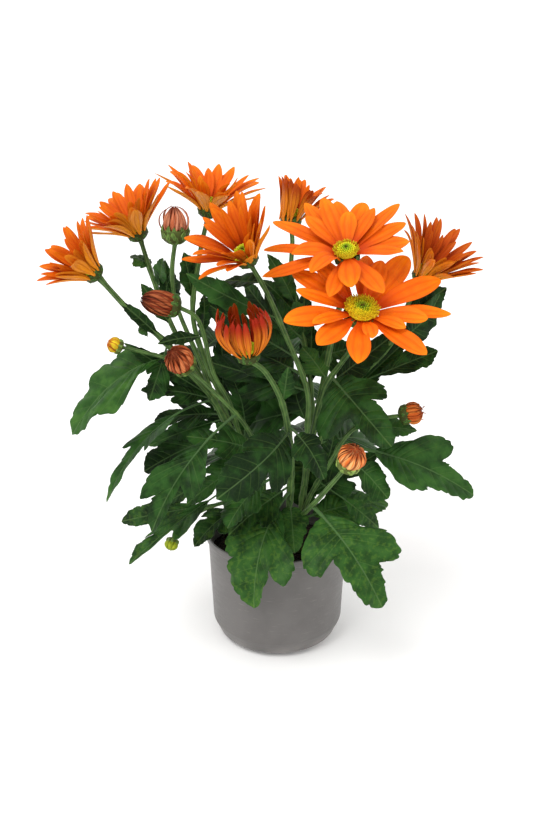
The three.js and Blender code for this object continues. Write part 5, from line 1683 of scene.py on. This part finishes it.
def makeBractTree():
    # rings of overlapping scales round a cup
    tree, given, out = newTree("bractRings", {"radius": "number", "height": "number", "rows": "whole",
                                              "perRow": "whole", "length": "number", "width": "number",
                                              "seed": "whole", "bract": "object", "finish": "finish"})
    total = calc(tree, "MULTIPLY", given["rows"], given["perRow"])
    line = addNode(tree, "GeometryNodeMeshLine", {"Count": total})
    index = addNode(tree, "GeometryNodeInputIndex").outputs[0]
    row = calc(tree, "FLOOR", calc(tree, "DIVIDE", calc(tree, "ADD", index, 0.01), given["perRow"]))
    random = addNode(tree, "FunctionNodeRandomValue", {"Min": -1.0, "Max": 1.0, "Seed": given["seed"]},
                     data_type="FLOAT").outputs["Value"]
    ahead = calc(tree, "ADD", calc(tree, "MULTIPLY", row, 0.5), calc(tree, "MULTIPLY", random, 0.12))
    turn = calc(tree, "MULTIPLY", calc(tree, "DIVIDE", calc(tree, "ADD", index, ahead), given["perRow"]),
                2 * math.pi)
    level = calc(tree, "DIVIDE", row, given["rows"])
    away = calc(tree, "MULTIPLY", given["radius"], fade(tree, level, -0.25, 0.75, 0.3, 0.98))
    x = calc(tree, "MULTIPLY", away, calc(tree, "COSINE", turn))
    y = calc(tree, "MULTIPLY", away, calc(tree, "SINE", turn))
    z = calc(tree, "MULTIPLY", calc(tree, "MULTIPLY", level, 0.62), given["height"])
    place = addNode(tree, "ShaderNodeCombineXYZ", {"X": x, "Y": y, "Z": z})
    placed = addNode(tree, "GeometryNodeSetPosition",
                     {"Geometry": line.outputs[0], "Position": place.outputs[0]})
    lean = calc(tree, "MULTIPLY_ADD", random, 0.05, fade(tree, level, 0.0, 0.7, 0.82, -0.08))
    facing = calc(tree, "ADD", turn, math.pi / 2)
    tilt = calc(tree, "MULTIPLY", random, 0.15)
    euler = addNode(tree, "ShaderNodeCombineXYZ", {"X": lean, "Y": tilt, "Z": facing})
    rotation = addNode(tree, "FunctionNodeEulerToRotation", {0: euler.outputs[0]})
    grown = calc(tree, "MULTIPLY_ADD", random, 0.1, fade(tree, level, 0.0, 0.6, 0.7, 1.0))
    tall = calc(tree, "MULTIPLY", given["length"], grown)
    size = addNode(tree, "ShaderNodeCombineXYZ", {"X": given["width"], "Y": given["width"], "Z": tall})
    shape = addNode(tree, "GeometryNodeObjectInfo", {"Object": given["bract"]}).outputs["Geometry"]
    put = addNode(tree, "GeometryNodeInstanceOnPoints",
                  {"Points": placed.outputs[0], "Instance": shape,
                   "Rotation": rotation.outputs[0], "Scale": size.outputs[0]})
    return endTree(tree, out, put.outputs[0], given["finish"])


def makeBractGreen():
    finish, tree, shader = newFinish("bractGreen", 0.55, Specular_IOR_Level=0.15)
    across, share = readParts(tree, "shape")[:2]
    place = addNode(tree, "ShaderNodeTexCoord").outputs["Object"]
    patch = useGroup(tree, patches, place=place, size=0.003)
    edge = fade(tree, calc(tree, "ABSOLUTE", across), 0.55, 0.95)
    rib = fade(tree, calc(tree, "ABSOLUTE", across), 0.0, 0.25, 0.3, 0.0)
    base = blend(tree, patch, colour(cupRule["dark"]), colour(cupRule["green"]))
    ribbed = blend(tree, rib, base, colour(cupRule["edge"]))
    edged = blend(tree, calc(tree, "MULTIPLY", edge, 0.6), ribbed, colour(cupRule["edge"]))
    fresh = readParts(tree, "cup")[2]
    freshened = blend(tree, calc(tree, "MULTIPLY", fresh, fade(tree, patch, 0.0, 1.0, 0.5, 1.0)), edged,
                      colour(cupRule["fresh"]))
    dry = calc(tree, "MULTIPLY", fade(tree, share, 0.8, 1.0), 0.7)
    tree.links.new(blend(tree, dry, freshened, colour(cupRule["dry"])), shader.inputs["Base Color"])
    return finish


bractGreen = makeBractGreen()
bractRings = makeBractTree()
bract = bractShape()


def makeCup(name, radius, height):
    flower = blooms.get(name) or buds.get(name)
    outline = curveThrough(cupRule["outline"], np.linspace(0, 1, 16))
    body = meshFrom("cup", roundSkin(outline * (radius, height), 32, "shape"), bractGreen, scale=1)
    values = {"radius": radius, "height": height, "rows": cupRule["rows"], "perRow": cupRule["perRow"],
              "length": cupRule["length"] * height / petalRule["calyx"] * 0.86,
              "seed": cupRule["seed"] + ord(name),
              "width": cupRule["width"] * radius / 6.4, "bract": bract, "finish": bractGreen}
    scales = growWith(bractRings, "scales", bpy.data.meshes.new("ring"), values)
    cup = joinMeshes("cup_" + name, [scales, body])
    setShare(cup, "cup", radius, cupRule["freshness"].get(name, 0))
    cup.transform(flowerMatrix(flower))
    return cup


def makeCups(plant):
    cups = []
    for name in stems:
        if stems[name]["plant"] != plant:
            continue
        if name in blooms:
            cups.append(makeCup(name, blooms[name]["core"] - 0.8, petalRule["calyx"]))
        else:
            bud = buds[name]
            cups.append(makeCup(name, bud["radius"] * 0.98, bud["height"] * bud["calyx"]))
    return joinMeshes("cups_" + plant, cups)


for plant in plants:
    finishPiece("cups_" + plant, makeCups(plant), "leafy_stem")
print("cups")

# ---- buds

budRule = {
    "gap": 0.3,
    "youngBelow": 5,
    "rows": 16,
    "cols": 5,
    "thickness": 0.3,
    "twist": 26,              # degrees from foot to tip
    "layers": (
        {"out": 1.03, "end": 0.93, "wide": 1.0, "depth": 0.0},
        {"out": 0.96, "end": 1.0, "wide": 1.0, "depth": 0.5},
        {"out": 0.86, "end": 1.0, "wide": 1.0, "depth": 1.0},
    ),
    "claw": {"out": 1.08, "end": 1.02, "wide": 0.3, "depth": 0.3},
    "core": 0.78,
}

# each bud's outer petals: how many there are and how many thin claws lie over them, how far the tips
# stand proud, curl and twist, how full the body is and how much it tapers, how slack the petals lie,
# how far the claws run past the crown, and the pale, main and dark colours
budLooks = {
    "J": {"petals": 14, "claws": 7, "proud": 0.0, "curl": 0.5, "twist": 0.3, "body": 0.86, "taper": 0.45,
          "colours": ("e6a07a", "b8603a", "661c0a")},
    "K": {"petals": 17, "claws": 0, "proud": 0.02, "curl": 1.0, "twist": 2.2, "body": 1.0, "taper": 0.1,
          "colours": ("a85a32", "74280a", "300802")},
    "L": {"petals": 16, "claws": 3, "proud": 0.04, "curl": 0.9, "twist": 1.6, "body": 1.0, "taper": 0.0,
          "colours": ("d47c4a", "a0441a", "521604")},
    "M": {"petals": 13, "claws": 7, "proud": 0.08, "curl": 1.4, "twist": 0.7, "body": 1.0, "taper": 0.0,
          "slack": 0.88, "past": 0.04, "colours": ("ffc27a", "ea7c34", "741c08")},
    "N": {"petals": 12, "claws": 8, "proud": 0.24, "curl": 1.6, "twist": 0.5, "body": 0.94, "taper": 0.1,
          "slack": 0.9, "past": 0.12, "colours": ("ee9440", "c45c1e", "641404")},
    "O": {"petals": 9, "claws": 0, "proud": 0.02, "curl": 0.6, "twist": 1.0, "body": 1.0, "taper": 0.0,
          "colours": ("dcc824", "c0a81e", "b0481a")},
    "P": {"petals": 9, "claws": 0, "proud": 0.02, "curl": 0.6, "twist": 1.0, "body": 1.0, "taper": 0.0,
          "colours": ("bcc434", "9cac2a", "7c8c22")},
}


def budOutline(bud, young):
    rows = ([(0, 0.86), (0.4, 0.94), (0.75, 0.7), (1, 0.2)] if young else
            [(0, 0.86), (0.3, 1), (0.64, 0.92), (0.9, 0.54), (1, 0.16)])
    fine = curveThrough(rows, np.linspace(0, 1, 60))
    return fine[:, 0], fine[:, 1] * bud["radius"]


def addBudPetal(skin, name, turn, layer, number):
    # layer says how far out and up the petal stands, how wide it is and how deep its colour; a deeper colour
    # is painted shade
    bud, look = buds[name], budLooks[name]
    young = bud["radius"] < budRule["youngBelow"]
    seat, axis, right, rise = flowerFrame(bud)
    foot = bud["height"] * bud["calyx"] + budRule["gap"]
    shares, radii = budOutline(bud, young)
    draw = draws(number, range(60, 66))
    t = np.linspace(0, 1, budRule["rows"])
    end = layer["end"] + 0.02 * draw[0]
    if layer is budRule["claw"]:
        end += look.get("past", 0) * (1 + 0.5 * draw[1])
    level = -0.18 + (end + 0.18) * t
    radius = np.interp(level, shares, radii, left=radii[0] * 0.9) * layer["out"]
    if layer is not budRule["claw"]:
        radius = radius * look["body"] * (1 - look["taper"] * np.clip(level, 0, 1))
    tipStart = 0.82
    proud = look["proud"] * bud["radius"] * ease(t, tipStart, 1.0) * (1 - layer["depth"])
    radius = radius + proud * (1 + 0.6 * draw[1])
    count = look["petals"]
    spin = turn + math.radians(budRule["twist"] * look["twist"] * (1 + 0.25 * draw[2])) * t
    full = layer["wide"] * look.get("slack", 1)
    width = math.tau / count * 0.95 * full * np.where(t < 0.5, 1, 1 - 0.75 * ease(t, 0.5, 1.0) ** 1.4)
    width[-1] *= 0.35
    x = np.linspace(-1, 1, budRule["cols"])
    angle = spin[:, None] + width[:, None] * x * 0.62
    out = radius[:, None] * (1 + 0.035 * x) - 0.035 * radius[:, None] * np.abs(x) ** 2
    ribs = 0.09 * np.cos(x * math.pi * 2.2) * ease(t, 0, 0.3)[:, None]
    out = out + ribs * (1 - ease(t, 0.8, 1.0))[:, None]
    high = foot + level * (bud["height"] - foot)
    high = high + 0.05 * bud["radius"] * look["curl"] * ease(t, tipStart, 1.0) * draw[3]
    spoke = right * np.cos(angle)[..., None] + rise * np.sin(angle)[..., None]
    surface = seat + axis * high[:, None, None] + spoke * out[..., None]
    along = unit(np.gradient(surface[:, len(x) // 2], axis=0))
    around = unit(np.cross(axis, spoke[:, len(x) // 2]))
    normal = unit(np.cross(around, along))
    thick = budRule["thickness"] * 0.5 * (1 - 0.5 * x ** 2)
    lift = normal[:, None] * thick[:, None]
    length = bud["height"] - foot
    values = {"place": field(angle * bud["radius"], t[:, None] * length, number * 13.0)[:, ::-1],
              "shape": field(x, t[:, None], draw[4])[:, ::-1],
              "state": (layer["depth"], 0.0, draw[5])}
    addSheet(skin, (surface + lift)[:, ::-1], (surface - lift)[:, ::-1], values, values)


def addBudCore(skin, name):
    # the dark heart of a bud, which closes the gaps between its petals: painted shade where the gaps would
    # show
    bud, look = buds[name], budLooks[name]
    seat, axis, right, rise = flowerFrame(bud)
    foot = bud["height"] * bud["calyx"] + budRule["gap"]
    shares, radii = budOutline(bud, bud["radius"] < budRule["youngBelow"])
    level = np.linspace(0, 0.95, 12)
    radius = np.interp(level, shares, radii) * look["body"] * (1 - look["taper"] * level) * budRule["core"]
    turn = np.linspace(0, 2 * math.pi, 24, endpoint=False)
    spoke = right * np.cos(turn)[:, None] + rise * np.sin(turn)[:, None]
    middle = seat + axis * (foot + level * (bud["height"] - foot))[:, None]
    rings = middle[:, None] + spoke * radius[:, None, None]
    addTube(skin, rings, {"place": rings, "shape": (0.0, 0.5, 0.0), "state": (1.0, 0.0, 0.0)})


def makeBudSkin(name, colours):
    pale, main, dark = colours
    finish, tree, shader = newFinish("budSkin_" + name, 0.55, Specular_IOR_Level=0.12)
    place = readField(tree, "place")
    across, share = readParts(tree, "shape")[:2]
    state = readParts(tree, "state")
    depth, tone = state[0], state[2]
    fine = useGroup(tree, fibre, place=place, pitch=0.45, stretch=14.0)
    broad = useGroup(tree, fibre, place=place, pitch=1.2, stretch=8.0)
    edge = fade(tree, calc(tree, "ABSOLUTE", across), 0.5, 1.0)
    toned = fade(tree, calc(tree, "MULTIPLY_ADD", tone, 0.3, broad), 0.1, 0.9)
    base = blend(tree, toned, colour(pale), colour(main))
    lined = blend(tree, calc(tree, "MULTIPLY", fine, 0.35), base, colour(dark))
    # painted shade: darker where the petals' edges overlap and on the deeper layers
    edged = blend(tree, calc(tree, "MULTIPLY", edge, 0.75), lined, colour(dark))
    deep = blend(tree, calc(tree, "MULTIPLY", depth, 0.75), edged, colour(dark))
    tipped = blend(tree, fade(tree, share, 0.75, 1.0, 0.0, 0.6), deep, colour(dark))
    tree.links.new(tipped, shader.inputs["Base Color"])
    bumpOn(tree, shader, calc(tree, "ADD", fine, broad), 0.08, 0.8)
    return finish


def makeBud(name):
    look = budLooks[name]
    skin = newSkin()
    layers = [(rule, look["petals"] - row * 2) for row, rule in enumerate(budRule["layers"])]
    layers.append((budRule["claw"], look["claws"]))
    for row, (layer, count) in enumerate(layers):
        for i in range(count):
            number = ord(name) * 50 + row * 20 + i
            wander = 0.16 * draws(number, [3])[0]
            addBudPetal(skin, name, (i + row * 0.5 + wander) / count * math.tau, layer, number)
    addBudCore(skin, name)
    return meshFrom("bud_" + name, skin, makeBudSkin(name, look["colours"]), sharp=80)


for name in buds:
    young = buds[name]["radius"] < budRule["youngBelow"]
    finishPiece("budPetals_" + name, makeBud(name), "young_bud" if young else "bud", "bud_" + name)
print("buds")
